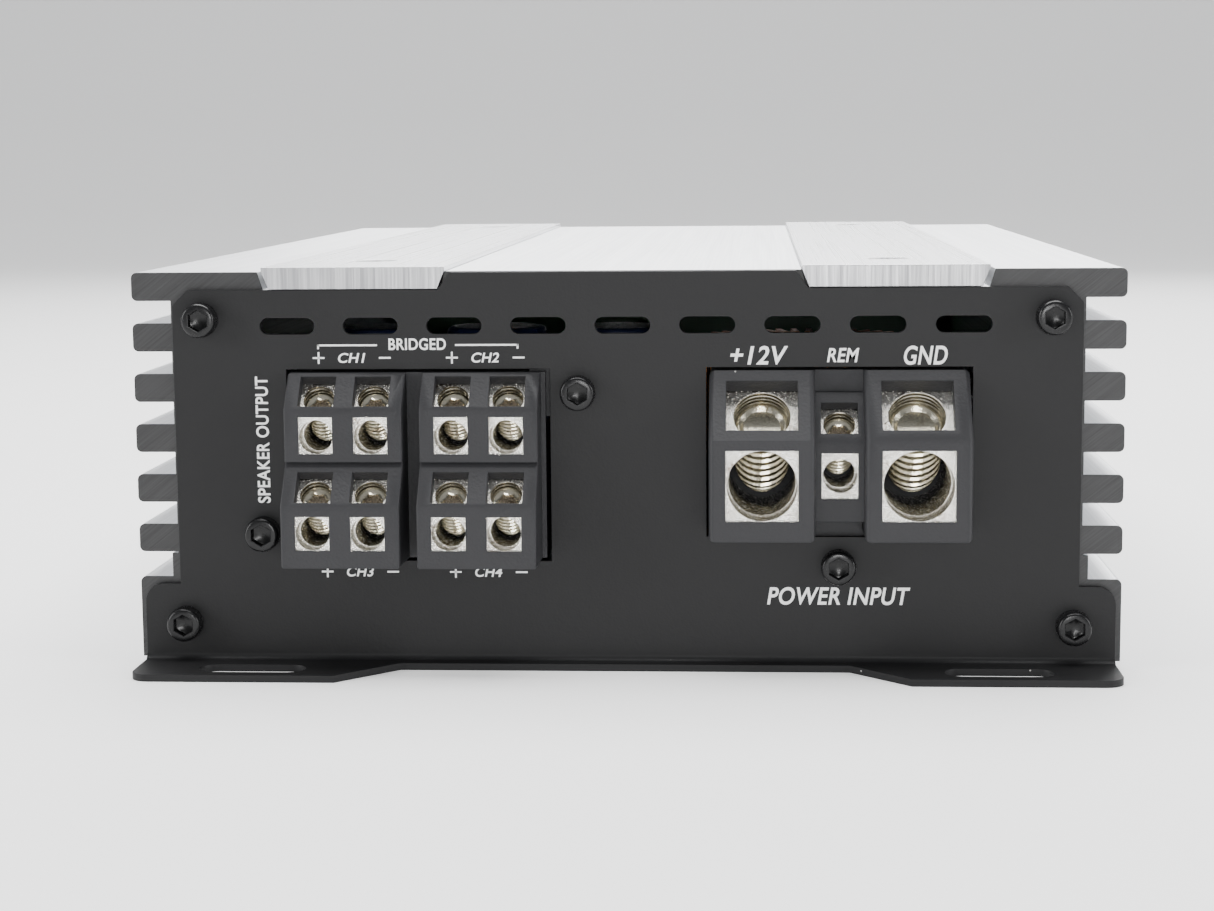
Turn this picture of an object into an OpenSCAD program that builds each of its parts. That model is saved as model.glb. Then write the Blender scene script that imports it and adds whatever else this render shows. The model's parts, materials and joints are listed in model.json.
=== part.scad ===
/* [Case] */
// Overall width across the heatsink fins
case_w = 160; // [155:1:200]
// Height of the heatsink top above the surface the amplifier is screwed to
case_h = 64.7; // [64.7:0.1:70]
// Length of the heatsink extrusion
heatsink_len = 220; // [200:1:280]
// Thickness of each side fin
fin_t = 4.6; // [4:0.1:5.6]
// Height from one fin to the next
fin_pitch = 8.25; // [8:0.05:8.4]
// How far each fin stands out from the side wall
fin_depth = 6.4; // [5:0.1:6.8]
// Number of fins on each side, above the solid edge block
fin_count = 6; // [4:1:6]
// Thickness of the side walls
side_wall_t = 3.2; // [2.5:0.1:3.8]
// Height of the top of the solid edge block along each side
edge_block_top = 14.7; // [13.5:0.1:14.7]
// Width of the solid edge block
edge_block_w = 14; // [13:0.5:16]

/* [Panels] */
// Thickness of the folded steel end panels
panel_t = 1.2; // [1:0.1:1.6]
// How far the mounting tabs stand out from the panel face
tab_out = 12.3; // [12:0.1:16]
// Length of each mounting slot, end to end
slot_len = 17.4; // [12:0.1:20]
// Width of each mounting slot
slot_w = 5.5; // [4.2:0.1:6.6]
// Distance of the slot centre line from the panel face
slot_out = 7.2; // [6.5:0.1:8]
// Length of each ventilation slot
vent_len = 8.9; // [6:0.1:10.5]
// Height of each ventilation slot
vent_h = 2.65; // [2:0.05:3.2]
// Number of ventilation slots in the row
vent_count = 9; // [5:1:9]
// Thickness of the bottom cover
cover_t = 1.2; // [1:0.1:1.6]

/* [Trim bars] */
// Width of each trim bar at its top
bar_w = 29.8; // [24:0.1:32]
// Height of each trim bar
bar_h = 3.55; // [3:0.05:4]
// How far the bars stand above the heatsink top
bar_proud = 0.8; // [0.4:0.1:1.2]

/* [Terminals] */
// Angle of the clamping screws above the horizontal
screw_tilt = 40; // [36:1:44]
// Diameter of the speaker wire bores
speaker_bore_d = 5; // [4.4:0.1:6.3]
// Diameter of the speaker and remote clamping screws
small_screw_d = 5; // [4:0.1:5]
// Diameter of the power wire bores
power_bore_d = 10.7; // [9:0.1:11.4]
// Diameter of the power clamping screws
power_screw_d = 9; // [7.5:0.1:9]
// Diameter of the remote wire bore
remote_bore_d = 5; // [4.4:0.1:5.3]
// Sideways place of the speaker block's middle
speaker_x = -33.7; // [-36:0.1:-31]
// Sideways place of the power block's middle
power_x = 34.6; // [32:0.1:36]

/* [Controls] */
// Diameter of the turning knobs
knob_d = 9; // [7:0.5:11]
// How far a knob stands out from the rear panel
knob_out = 5.4; // [4:0.1:8]
// Diameter of a line input shell
jack_d = 8.3; // [8:0.1:8.5]
// How far a line input shell stands out from the rear panel
jack_out = 9.5; // [8:0.1:11.5]

/* [Hidden] */
$fn = 48;

// Case
half_w = case_w / 2;
half_len = heatsink_len / 2;
face_y = half_len + panel_t;              // outer face of each end panel
web_x = half_w - fin_depth;               // side wall between the fins
inner_x = web_x - side_wall_t;
block_x = half_w - edge_block_w;          // inner face of the edge block
block_z = cover_t + 0.1;
ceiling_z = case_h - 6.4;
fin_r = 0.9;
boss_x = half_w - 11.7;                   // upper panel screws
boss_z = case_h - 7.6;
boss_r = 3.4;
low_screw_x = half_w - 7.8;               // lower panel screws
low_screw_z = 7.25;
m3_r = 1.5;
m4_r = 2;
thread_gap = 0.05;                        // running gap round every threaded shank
piece_gap = 0.1;                          // gap round a piece that sits in a pocket
end_hole_depth = 14;
bar_hole_depth = 7;
clamp_hole_depth = 5;
cover_hole_depth = 10;
board_slot_depth = 2.5;

// Trim bars
bar_x = half_w - 36.5;
bar_taper = 1.2;
bar_lip = 0.6;
bar_z0 = case_h + bar_proud - bar_h;
channel_in_gap = 0.3;
channel_out_gap = 1.2;
bar_screw_y = half_len - 20.7;
bar_screw_len = 7;
bar_head_r = 3.75;
bar_sink = 2;
bar_hole_r = m4_r + 0.15;

// Panels
panel_half = half_w - 6.9;
panel_top = bar_z0 - 0.1;
corner_cut = 2.5;
tab_top_x = bar_x - bar_w / 2 - 0.9;
tab_base_x = bar_x - bar_w / 2 + bar_taper - 0.1;
lobe_half = half_w - 1;
lobe_top = edge_block_top - 1;
lobe_r = 3;
foot_r = 3;
foot_mid_out = 2.7;
foot_in_x = half_w - 43.6;
foot_tab_x = half_w - 34.2;
slot_x = half_w - 20.1;
vent_z = case_h - 8.7;
vent_pitch = 13.58;
screw_hole_r = 1.7;
cutout_gap = 0.5;

// Cap screws
cap_head_r = 2.8;
cap_head_h = 3;
cap_len = 10;
block_screw_len = 6;
key_af = 2.5;
key_depth = 1.8;

// Upwards along the sloped faces that the clamping screws enter
up_y = sin(screw_tilt);
up_z = cos(screw_tilt);

// Speaker block, measured outwards from the panel face and up from the base
speaker_bore_z = [38.6, 23.7];
speaker_out = [5.8, 10.4];
speaker_rise = 4.45;                      // crease above its bore
speaker_top = 48.5;
speaker_bottom = 18.15;
speaker_back = 9.6;
speaker_clamp_w = speaker_bore_d + 2.2;
speaker_pitch = speaker_clamp_w + 1.65;
column_w = 2 * speaker_clamp_w + 1.65 + 3;
column_pitch = column_w + 2.75;
speaker_span = column_pitch + column_w;
speaker_axis_up = 3.56;                   // screw axis above the crease, along the slope
speaker_clamp_back = 14.8;                // from the block face to the clamp's back
speaker_screw_places = [[speaker_span / 2 + 6.075, 45.2], [-speaker_span / 2 - 4.775, 22.2]];
speaker_side_gap = 1.5;                   // cutout beyond the block's right side
speaker_window_h = [6, 5.5];
bore_lip = 0.5;                           // clamp front behind the block's face
small_mouth = [0.2, 3];                   // widened mouth of each bore: step in radius, depth
remote_mouth = [0.2, 5];
power_mouth = [0.2, 4.8];

// Power block
power_bore_z = 31.15;
power_out = 8.8;
power_rise = 7.3;
power_top = 48.7;
power_bottom = 22.25;
power_back = 17.2;
power_clamp_w = power_bore_d + 2.1;
power_w = power_clamp_w + 4;
remote_w = 7.8;
power_pitch = power_w + remote_w;
power_axis_up = 6.69;
power_clamp_back = 25.3;
remote_bore_z = 32.4;
remote_out = 6;
remote_rise = 5.2;
remote_bottom = 25.1;
remote_top = 45.1;
remote_axis_up = 4.9;
remote_clamp_back = 17.5;
power_screw_z = 17;

// Boards
board_t = 1.6;
board_z = 10;
board_top = board_z + board_t;
board_half = block_x + board_slot_depth - 0.3;
board_len = heatsink_len - 2;
tail_z = board_z - 0.6;
control_half = 62;
control_h = 36;
control_y = 9.2;                          // control board, inwards from the rear panel face

// Rear controls
control_rows = [38, 22];
knob_places = [-12, 4, 20];
switch_x = 38;
lamp_x = 55;
jack_places = [-54, -38];
jack_r = jack_d / 2;
shell_t = 0.6;
shell_step = 0.2;                         // shell slimmer behind the panel
jack_base_r = 5.2;
jack_base_out = 1.2;
contact_r = 2.1;
shaft_r = 1.5;
pot_w = 10;
pot_h = 11;
pot_neck_r = 3.2;
slider_reach = 4.5;                       // half length of a switch's slot
slider_gap = 1.8;
lever_w = 3.2;
lever_h = 3;
lever_out = 2.6;

// Points of an arc, from angle a0 to a1
function arc(x, y, r, a0, a1, n = 6) =
    [for (i = [0 : n]) let (a = a0 + (a1 - a0) * i / n) [x + r * cos(a), y + r * sin(a)]];

// A half outline and its mirror image, joined
function both_sides(pts) =
    concat(pts, [for (i = [len(pts) - 1 : -1 : 0]) [-pts[i][0], pts[i][1]]]);

// Extrusions of a side view along X, and of an end view along Y
module along_x(w) { rotate([90, 0, 90]) linear_extrude(w, center = true) children(); }
module along_y(y0, y1) { translate([0, y1, 0]) rotate([90, 0, 0]) linear_extrude(y1 - y0) children(); }

// Local frames at the two panel faces: y is the distance inwards from the face
module at_front() { translate([0, -face_y, 0]) children(); }
module at_rear() { mirror([0, 1, 0]) translate([0, -face_y, 0]) children(); }

// A rod along Y from y0 to y1
module rod_y(x, z, r, y0, y1) { translate([x, y0, z]) rotate([-90, 0, 0]) cylinder(h = y1 - y0, r = r); }

// Hexagonal key pocket, centred on Z
module key_pocket(af, depth) { cylinder(h = depth, r = af / sqrt(3), $fn = 6); }

// Frame on a clamping screw: Z points out of the block, origin on the sloped face
module on_screw_axis(out, bore_z, rise, axis_up) {
    translate([0, -out + axis_up * up_y, bore_z + rise + axis_up * up_z])
        rotate([90 - screw_tilt, 0, 0]) children();
}

// ---------- heatsink ----------

function fin_side(i) = let (top = case_h - i * fin_pitch, low = top - fin_t) concat(
    i == 0 ? [] : [[web_x, top]],
    arc(half_w - fin_r, top - fin_r, fin_r, 90, 0, 4),
    arc(half_w - fin_r, low + fin_r, fin_r, 0, -90, 4),
    [[web_x, low]]);

module heatsink_outline() {
    fins = [for (i = [0 : fin_count - 1]) each fin_side(i)];
    block = concat([[web_x + 1, edge_block_top]],
        arc(half_w - fin_r, edge_block_top - fin_r, fin_r, 90, 0, 4),
        [[half_w, block_z], [block_x, block_z], [block_x, edge_block_top], [inner_x, edge_block_top],
         [inner_x, ceiling_z]]);
    web = [[web_x, edge_block_top + 3.9], [web_x + 1, edge_block_top + 3.9]];
    polygon(both_sides(concat(fins, web, block)));
}

module bar_channel(side) {
    inner = bar_x - bar_w / 2;
    outer = bar_x + bar_w / 2;
    z0 = bar_z0 - piece_gap;
    polygon([for (p = [
        [inner + bar_taper - channel_in_gap, z0],
        [outer - bar_taper + channel_out_gap, z0],
        [outer + channel_out_gap, case_h + 1],
        [inner - channel_in_gap, case_h + 1]]) [side * p[0], p[1]]]);
}

module heatsink() {
    color("gainsboro") difference() {
        union() {
            along_y(-half_len, half_len) heatsink_outline();
            for (side = [-1, 1]) rod_y(side * boss_x, boss_z, boss_r, -half_len, half_len);
        }
        for (side = [-1, 1]) {
            along_y(-half_len - 1, half_len + 1) bar_channel(side);
            translate([side * block_x, 0, board_z + board_t / 2])
                cube([2 * board_slot_depth, heatsink_len + 2, board_t + 2 * piece_gap], center = true);
            for (end = [-1, 1]) {
                y0 = end < 0 ? -half_len - 1 : half_len - end_hole_depth;
                y1 = y0 + end_hole_depth + 1;
                rod_y(side * boss_x, boss_z, m3_r + thread_gap, y0, y1);
                rod_y(side * low_screw_x, low_screw_z, m3_r + thread_gap, y0, y1);
            }
            for (y = cover_screw_ys)
                translate([side * cover_screw_x, y, 0])
                    cylinder(h = cover_hole_depth + 1, r = m3_r + thread_gap);
            for (y = [-bar_screw_y, bar_screw_y])
                translate([side * bar_x, y, ceiling_z - 1])
                    cylinder(h = bar_hole_depth + 1, r = m4_r + thread_gap);
            for (y = clamp_screw_ys)
                translate([side * (inner_x - 1), y, clamp_screw_z]) rotate([0, side * 90, 0])
                    cylinder(h = clamp_hole_depth + 1, r = m3_r + thread_gap);
        }
    }
}

// ---------- bottom cover ----------

cover_screw_x = half_w - 4.2;
cover_screw_ys = [-0.38 * heatsink_len, 0, 0.38 * heatsink_len];
cover_head_r = 2.8;
cover_sink = 1.1;
cover_screw_len = 9;
cover_key_af = 2;

module bottom_cover() {
    color("dimgray") difference() {
        translate([-lobe_half, -half_len + 0.1, 0]) cube([2 * lobe_half, heatsink_len - 0.2, cover_t]);
        for (side = [-1, 1], y = cover_screw_ys) translate([side * cover_screw_x, y, 0]) {
            translate([0, 0, -1]) cylinder(h = cover_t + 2, r = screw_hole_r);
            translate([0, 0, -0.01])
                cylinder(h = cover_sink, r1 = cover_head_r + piece_gap, r2 = screw_hole_r);
        }
    }
}

module bottom_cover_screws() {
    color("black") for (side = [-1, 1], y = cover_screw_ys) translate([side * cover_screw_x, y, 0])
        difference() {
            union() {
                cylinder(h = cover_sink, r1 = cover_head_r, r2 = m3_r);
                cylinder(h = cover_screw_len, r = m3_r);
            }
            translate([0, 0, -0.5]) key_pocket(cover_key_af, 1.4);
        }
}

// ---------- trim bars ----------

module trim_bar(side) {
    color("silver") difference() {
        along_y(-face_y, face_y) translate([side * bar_x, 0]) polygon(both_sides([
            [bar_w / 2, bar_z0 + bar_h], [bar_w / 2, bar_z0 + bar_h - bar_lip],
            [bar_w / 2 - bar_taper, bar_z0]]));
        for (y = [-bar_screw_y, bar_screw_y]) translate([side * bar_x, y, bar_z0 + bar_h]) {
            translate([0, 0, -bar_h - 1]) cylinder(h = bar_h + 2, r = bar_hole_r);
            translate([0, 0, -bar_sink])
                cylinder(h = bar_sink + 0.01, r1 = bar_hole_r, r2 = bar_head_r + piece_gap);
        }
    }
}
module trim_bar_left() { trim_bar(-1); }
module trim_bar_right() { trim_bar(1); }

module trim_bar_screws() {
    top = bar_z0 + bar_h - 0.05;
    color("silver") for (side = [-1, 1], y = [-bar_screw_y, bar_screw_y])
        translate([side * bar_x, y, top]) difference() {
            union() {
                translate([0, 0, 0.15 - bar_sink]) cylinder(h = bar_sink - 0.15, r1 = m4_r, r2 = bar_head_r);
                translate([0, 0, -bar_screw_len]) cylinder(h = bar_screw_len - 0.1, r = m4_r);
            }
            translate([0, 0, -1.6]) key_pocket(key_af, 2);
        }
}

// ---------- end panels ----------

module panel_sheet() {
    half = concat(
        [[tab_top_x, case_h - 0.1], [tab_base_x, panel_top], [panel_half - corner_cut, panel_top],
         [panel_half, panel_top - corner_cut], [panel_half, lobe_top]],
        arc(lobe_half - lobe_r, lobe_top - lobe_r, lobe_r, 90, 0),
        [[lobe_half, 0]]);
    foot = concat(
        [[lobe_half, 0.5]],
        arc(lobe_half - foot_r, -tab_out + foot_r, foot_r, 0, -90),
        [[foot_tab_x, -tab_out], [foot_in_x, -foot_mid_out]]);
    difference() {
        union() {
            along_y(0, panel_t) polygon(both_sides(half));
            linear_extrude(panel_t) polygon(both_sides(foot));
        }
        for (side = [-1, 1]) {
            rod_y(side * boss_x, boss_z, screw_hole_r, -1, panel_t + 1);
            rod_y(side * low_screw_x, low_screw_z, screw_hole_r, -1, panel_t + 1);
            translate([side * slot_x, -slot_out, -1]) {
                for (end = [-1, 1]) translate([end * (slot_len - slot_w) / 2, 0, 0])
                    cylinder(h = panel_t + 2, r = slot_w / 2);
                translate([-(slot_len - slot_w) / 2, -slot_w / 2, 0])
                    cube([slot_len - slot_w, slot_w, panel_t + 2]);
            }
        }
        for (i = [0 : vent_count - 1]) vent((i - (vent_count - 1) / 2) * vent_pitch);
    }
}

module vent(x) {
    reach = (vent_len - vent_h) / 2;
    for (end = [-1, 1]) rod_y(x + end * reach, vent_z, vent_h / 2, -1, panel_t + 1);
    translate([x - reach, -1, vent_z - vent_h / 2]) cube([2 * reach, panel_t + 2, vent_h]);
}

// Rectangular opening through a panel, from its two corners
module cutout(x0, x1, z0, z1) { translate([x0, -1, z0]) cube([x1 - x0, panel_t + 2, z1 - z0]); }

module front_panel() {
    color([0.22, 0.22, 0.23]) at_front() difference() {
        panel_sheet();
        cutout(speaker_x - speaker_span / 2 - cutout_gap, speaker_x + speaker_span / 2 + speaker_side_gap,
            speaker_bottom - cutout_gap, speaker_top + cutout_gap);
        cutout(power_x - power_pitch / 2 - power_w / 2 - cutout_gap,
            power_x + power_pitch / 2 + power_w / 2 + cutout_gap,
            power_bottom - cutout_gap, power_top + cutout_gap);
        for (p = speaker_screw_places) rod_y(speaker_x + p[0], p[1], screw_hole_r, -1, panel_t + 1);
        rod_y(power_x, power_screw_z, screw_hole_r, -1, panel_t + 1);
    }
}

module rear_panel() {
    color([0.22, 0.22, 0.23]) at_rear() difference() {
        panel_sheet();
        for (z = control_rows) {
            for (x = knob_places) rod_y(x, z, pot_neck_r + 0.2, -1, panel_t + 1);
            for (x = jack_places) rod_y(x, z, jack_base_r + 0.2, -1, panel_t + 1);
            cutout(switch_x - slider_reach - piece_gap, switch_x + slider_reach + piece_gap,
                z - slider_gap - piece_gap, z + slider_gap + piece_gap);
            rod_y(lamp_x, z, 1.65, -1, panel_t + 1);
        }
    }
}

// Socket head cap screw along Y, its head resting on a panel face
module cap_screw(x, z, shank) {
    translate([x, 0, z]) rotate([90, 0, 0]) difference() {
        union() {
            cylinder(h = cap_head_h, r = cap_head_r);
            translate([0, 0, -shank]) cylinder(h = shank, r = m3_r);
        }
        translate([0, 0, cap_head_h - key_depth]) key_pocket(key_af, key_depth + 1);
    }
}

module panel_screws() {
    for (side = [-1, 1]) {
        cap_screw(side * boss_x, boss_z, cap_len);
        cap_screw(side * low_screw_x, low_screw_z, cap_len);
    }
}
module front_panel_screws() { color("black") at_front() panel_screws(); }
module rear_panel_screws() { color("black") at_rear() panel_screws(); }

// ---------- wire clamps ----------

// Clamp block grown by g: a straight part round the bore and a sloped part round the screw
module clamp_body(w, bore_r, bore_z, out, rise, axis_up, screw_r, reach, wall, top_gap, g) {
    ur = screw_r + thread_gap + 0.6;
    height = rise + axis_up * up_z - bore_r - wall;
    drop = (height + ur * up_z) / sin(screw_tilt);
    translate([-w / 2 - g, -out + bore_lip - g, bore_z - bore_r - wall - g])
        cube([w + 2 * g, reach - bore_lip + 2 * g, 2 * (bore_r + wall + g)]);
    on_screw_axis(out, bore_z, rise, axis_up)
        translate([-w / 2 - g, -ur - g, -drop])
            cube([w + 2 * g, 2 * (ur + g), drop - top_gap + g]);
}

// Wire bore and screw hole of one clamp
module clamp_holes(bore_r, bore_z, out, rise, axis_up, screw_r, reach, mouth) {
    rod_y(0, bore_z, bore_r, -out - 1, -out + reach + 1);
    rod_y(0, bore_z, bore_r + mouth[0], -out - 1, -out + bore_lip + mouth[1]);
    on_screw_axis(out, bore_z, rise, axis_up)
        translate([0, 0, -(rise + axis_up * up_z) / sin(screw_tilt)])
            cylinder(h = (rise + axis_up * up_z) / sin(screw_tilt) + 1, r = screw_r + thread_gap);
}

// Square openings in front of the bore and over the screw
module clamp_windows(win_w, win_h, win_z, bore_z, out, rise, axis_up, key_w, key_h, depth) {
    translate([-win_w / 2, -out - 1, win_z - win_h / 2]) cube([win_w, 3, win_h]);
    on_screw_axis(out, bore_z, rise, axis_up)
        translate([-key_w / 2, -key_h / 2, -depth]) cube([key_w, key_h, depth + 6]);
}

// Solder tail from a clamp down through the board
module tail(w, y, z_top, g) {
    translate([-w / 2 - g, y - 0.5 - g, tail_z - g]) cube([w + 2 * g, 1 + 2 * g, z_top - tail_z + g]);
}

// ---------- speaker block ----------

ear_t = 5;
ear_h = 8;
ear_in = 8;                               // from a block screw back into the block
ear_out = 4.2;
small_window_depth = 4;
speaker_wall = 0.85;
speaker_top_gap = 2.32;
speaker_tail_y = [8.2, 3.6];
speaker_places = [for (column = [-1, 1], side = [-1, 1])
    speaker_x + column * column_pitch / 2 + side * speaker_pitch / 2];

module speaker_clamp_body(tier, g) {
    clamp_body(speaker_clamp_w, speaker_bore_d / 2, speaker_bore_z[tier], speaker_out[tier], speaker_rise,
        speaker_axis_up, small_screw_d / 2, speaker_clamp_back, speaker_wall, speaker_top_gap, g);
    tail(3, speaker_tail_y[tier], speaker_bore_z[tier] - speaker_bore_d / 2, g);
}

module speaker_clamps() {
    color([0.8, 0.78, 0.7]) at_front() for (tier = [0, 1], x = speaker_places) translate([x, 0, 0])
        difference() {
            speaker_clamp_body(tier, 0);
            clamp_holes(speaker_bore_d / 2, speaker_bore_z[tier], speaker_out[tier], speaker_rise,
                speaker_axis_up, small_screw_d / 2, speaker_clamp_back, small_mouth);
        }
}

// Stepped side view of one speaker column
module speaker_column_side() {
    crease = [for (tier = [0, 1]) speaker_bore_z[tier] + speaker_rise];
    step_z = 34.6;
    polygon([
        [speaker_back, speaker_bottom],
        [-speaker_out[1], speaker_bottom],
        [-speaker_out[1], crease[1]],
        [-speaker_out[1] + (step_z - crease[1]) * tan(screw_tilt), step_z],
        [-speaker_out[0], step_z],
        [-speaker_out[0], crease[0]],
        [-speaker_out[0] + (speaker_top - crease[0]) * tan(screw_tilt), speaker_top],
        [speaker_back, speaker_top]]);
}

module speaker_housing() {
    ear_y = panel_t + piece_gap;
    base_y = 0.3;
    window_w = speaker_bore_d + 0.5;
    key_w = small_screw_d + 0.8;
    color([0.26, 0.26, 0.28]) at_front() difference() {
        union() {
            for (column = [-1, 1])
                translate([speaker_x + column * column_pitch / 2, 0, 0])
                    along_x(column_w) speaker_column_side();
            translate([speaker_x - speaker_span / 2, base_y, speaker_bottom])
                cube([speaker_span + speaker_side_gap / 2, speaker_back - base_y,
                    speaker_top - speaker_bottom]);
            for (p = speaker_screw_places)
                translate([speaker_x + p[0] + (p[0] > 0 ? -ear_in : -ear_out), ear_y, p[1] - ear_h / 2])
                    cube([ear_in + ear_out, ear_t, ear_h]);
        }
        for (tier = [0, 1], x = speaker_places) translate([x, 0, 0]) {
            speaker_clamp_body(tier, piece_gap);
            win_z = speaker_bore_z[tier] + (speaker_window_h[tier] - window_w) / 2;
            clamp_windows(window_w, speaker_window_h[tier], win_z, speaker_bore_z[tier], speaker_out[tier],
                speaker_rise, speaker_axis_up, key_w, key_w, small_window_depth);
        }
        for (p = speaker_screw_places)
            rod_y(speaker_x + p[0], p[1], m3_r + thread_gap, 0, ear_y + ear_t + 1);
    }
}

module speaker_block_screws() {
    color("black") at_front() for (p = speaker_screw_places)
        cap_screw(speaker_x + p[0], p[1], block_screw_len);
}

// Headless clamping screw on its own axis: key pocket at the top, tapered tip
module set_screw(d, length, taper, af) {
    difference() {
        union() {
            cylinder(h = taper, r1 = 0.64 * d / 2, r2 = d / 2);
            translate([0, 0, taper]) cylinder(h = length - taper, r = d / 2);
        }
        translate([0, 0, length - 0.45 * length]) key_pocket(af, length);
    }
}

small_screw_len = 5.7 + speaker_bore_d / 2;
small_screw_drop = 4;                     // screw top below the sloped face
small_taper = 1.4;

module speaker_set_screw(i) {
    tier = i < 4 ? 0 : 1;
    color("silver") at_front() translate([speaker_places[i % 4], 0, 0])
        on_screw_axis(speaker_out[tier], speaker_bore_z[tier], speaker_rise, speaker_axis_up)
            translate([0, 0, -small_screw_drop - small_screw_len])
                set_screw(small_screw_d, small_screw_len, small_taper, key_af);
}
module speaker_set_screw_1() { speaker_set_screw(0); }
module speaker_set_screw_2() { speaker_set_screw(1); }
module speaker_set_screw_3() { speaker_set_screw(2); }
module speaker_set_screw_4() { speaker_set_screw(3); }
module speaker_set_screw_5() { speaker_set_screw(4); }
module speaker_set_screw_6() { speaker_set_screw(5); }
module speaker_set_screw_7() { speaker_set_screw(6); }
module speaker_set_screw_8() { speaker_set_screw(7); }

// ---------- power block ----------

power_wall = 0.75;
power_top_gap = 3.2;
remote_wall = 1.6;
remote_top_gap = 2.1;
remote_clamp_w = 6.2;
power_screw_len = 10.5 + power_bore_d / 2;
power_screw_drop = 5.8;
power_taper = 1.8;
power_key_af = 5;
remote_screw_len = 7.9 + remote_bore_d / 2;
power_window_depth = 4.5;
power_tail_y = [5, 13];
remote_tail_y = 10.4;
base_t = 4;                               // wall behind the block's open recesses

module power_clamp_body(g) {
    clamp_body(power_clamp_w, power_bore_d / 2, power_bore_z, power_out, power_rise, power_axis_up,
        power_screw_d / 2, power_clamp_back, power_wall, power_top_gap, g);
    for (y = power_tail_y) tail(5, y, power_bore_z - power_bore_d / 2, g);
}

module remote_clamp_body(g) {
    clamp_body(remote_clamp_w, remote_bore_d / 2, remote_bore_z, remote_out, remote_rise, remote_axis_up,
        small_screw_d / 2, remote_clamp_back, remote_wall, remote_top_gap, g);
    tail(3, remote_tail_y, remote_bore_z - remote_bore_d / 2, g);
}

module power_clamp(side) {
    color([0.8, 0.78, 0.7]) at_front() translate([power_x + side * power_pitch / 2, 0, 0]) difference() {
        power_clamp_body(0);
        clamp_holes(power_bore_d / 2, power_bore_z, power_out, power_rise, power_axis_up,
            power_screw_d / 2, power_clamp_back, power_mouth);
    }
}
module power_clamp_positive() { power_clamp(-1); }
module power_clamp_ground() { power_clamp(1); }

module remote_clamp() {
    color([0.8, 0.78, 0.7]) at_front() translate([power_x, 0, 0]) difference() {
        remote_clamp_body(0);
        clamp_holes(remote_bore_d / 2, remote_bore_z, remote_out, remote_rise, remote_axis_up,
            small_screw_d / 2, remote_clamp_back, remote_mouth);
    }
}

// Side view of one terminal with a sloped upper face
module terminal_side(out, crease, bottom, top, back) {
    polygon([[back, bottom], [-out, bottom], [-out, crease],
        [-out + (top - crease) * tan(screw_tilt), top], [back, top]]);
}

module power_housing() {
    ear_y = panel_t + piece_gap;
    ear_w = 9;
    color([0.26, 0.26, 0.28]) at_front() difference() {
        union() {
            for (side = [-1, 1]) translate([power_x + side * power_pitch / 2, 0, 0]) along_x(power_w)
                terminal_side(power_out, power_bore_z + power_rise, power_bottom, power_top, power_back);
            translate([power_x, 0, 0]) along_x(remote_w + 0.02)
                terminal_side(remote_out, remote_bore_z + remote_rise, remote_bottom, remote_top, power_back);
            translate([power_x - power_pitch / 2, ear_y, power_bottom])
                cube([power_pitch, base_t, power_top - power_bottom]);
            translate([power_x - ear_w / 2, ear_y, power_screw_z - 3.8]) cube([ear_w, ear_t, 14]);
        }
        for (side = [-1, 1]) translate([power_x + side * power_pitch / 2, 0, 0]) {
            power_clamp_body(piece_gap);
            clamp_windows(power_bore_d + 0.8, power_bore_d + 0.6, power_bore_z, power_bore_z, power_out,
                power_rise, power_axis_up, power_bore_d + 0.7, power_screw_d + 0.4, power_window_depth);
        }
        translate([power_x, 0, 0]) {
            remote_clamp_body(piece_gap);
            clamp_windows(remote_bore_d + 0.8, remote_bore_d + 2.3, remote_bore_z, remote_bore_z, remote_out,
                remote_rise, remote_axis_up, small_screw_d + 0.9, small_screw_d + 0.9, small_window_depth);
        }
        rod_y(power_x, power_screw_z, m3_r + thread_gap, 0, ear_y + ear_t + 1);
    }
}

module power_block_screw() { color("black") at_front() cap_screw(power_x, power_screw_z, block_screw_len); }

module power_set_screw(side) {
    color("silver") at_front() translate([power_x + side * power_pitch / 2, 0, 0])
        on_screw_axis(power_out, power_bore_z, power_rise, power_axis_up)
            translate([0, 0, -power_screw_drop - power_screw_len])
                set_screw(power_screw_d, power_screw_len, power_taper, power_key_af);
}
module power_set_screw_positive() { power_set_screw(-1); }
module power_set_screw_ground() { power_set_screw(1); }

module remote_set_screw() {
    color("silver") at_front() translate([power_x, 0, 0])
        on_screw_axis(remote_out, remote_bore_z, remote_rise, remote_axis_up)
            translate([0, 0, -small_screw_drop - remote_screw_len])
                set_screw(small_screw_d, remote_screw_len, small_taper, key_af);
}

// ---------- boards and what stands on them ----------

module main_board() {
    color("darkgreen") difference() {
        translate([-board_half, -board_len / 2, board_z]) cube([2 * board_half, board_len, board_t]);
        at_front() {
            for (tier = [0, 1], x = speaker_places) translate([x, 0, 0])
                tail(3, speaker_tail_y[tier], board_top + 2, 0.2);
            for (side = [-1, 1], y = power_tail_y) translate([power_x + side * power_pitch / 2, 0, 0])
                tail(5, y, board_top + 2, 0.2);
            translate([power_x, 0, 0]) tail(3, remote_tail_y, board_top + 2, 0.2);
        }
    }
}

module control_board() {
    color("darkgreen") at_rear() difference() {
        translate([-control_half, control_y, board_top + piece_gap])
            cube([2 * control_half, board_t, control_h]);
        for (z = control_rows, x = jack_places)
            rod_y(x, z, contact_r + 0.2, control_y - 1, control_y + board_t + 1);
    }
}

// Ring of rectangular section standing on the board
module ring(r_in, r_out, z0, h) {
    translate([0, 0, z0]) difference() {
        cylinder(h = h, r = r_out);
        translate([0, 0, -1]) cylinder(h = h + 2, r = r_in);
    }
}

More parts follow.
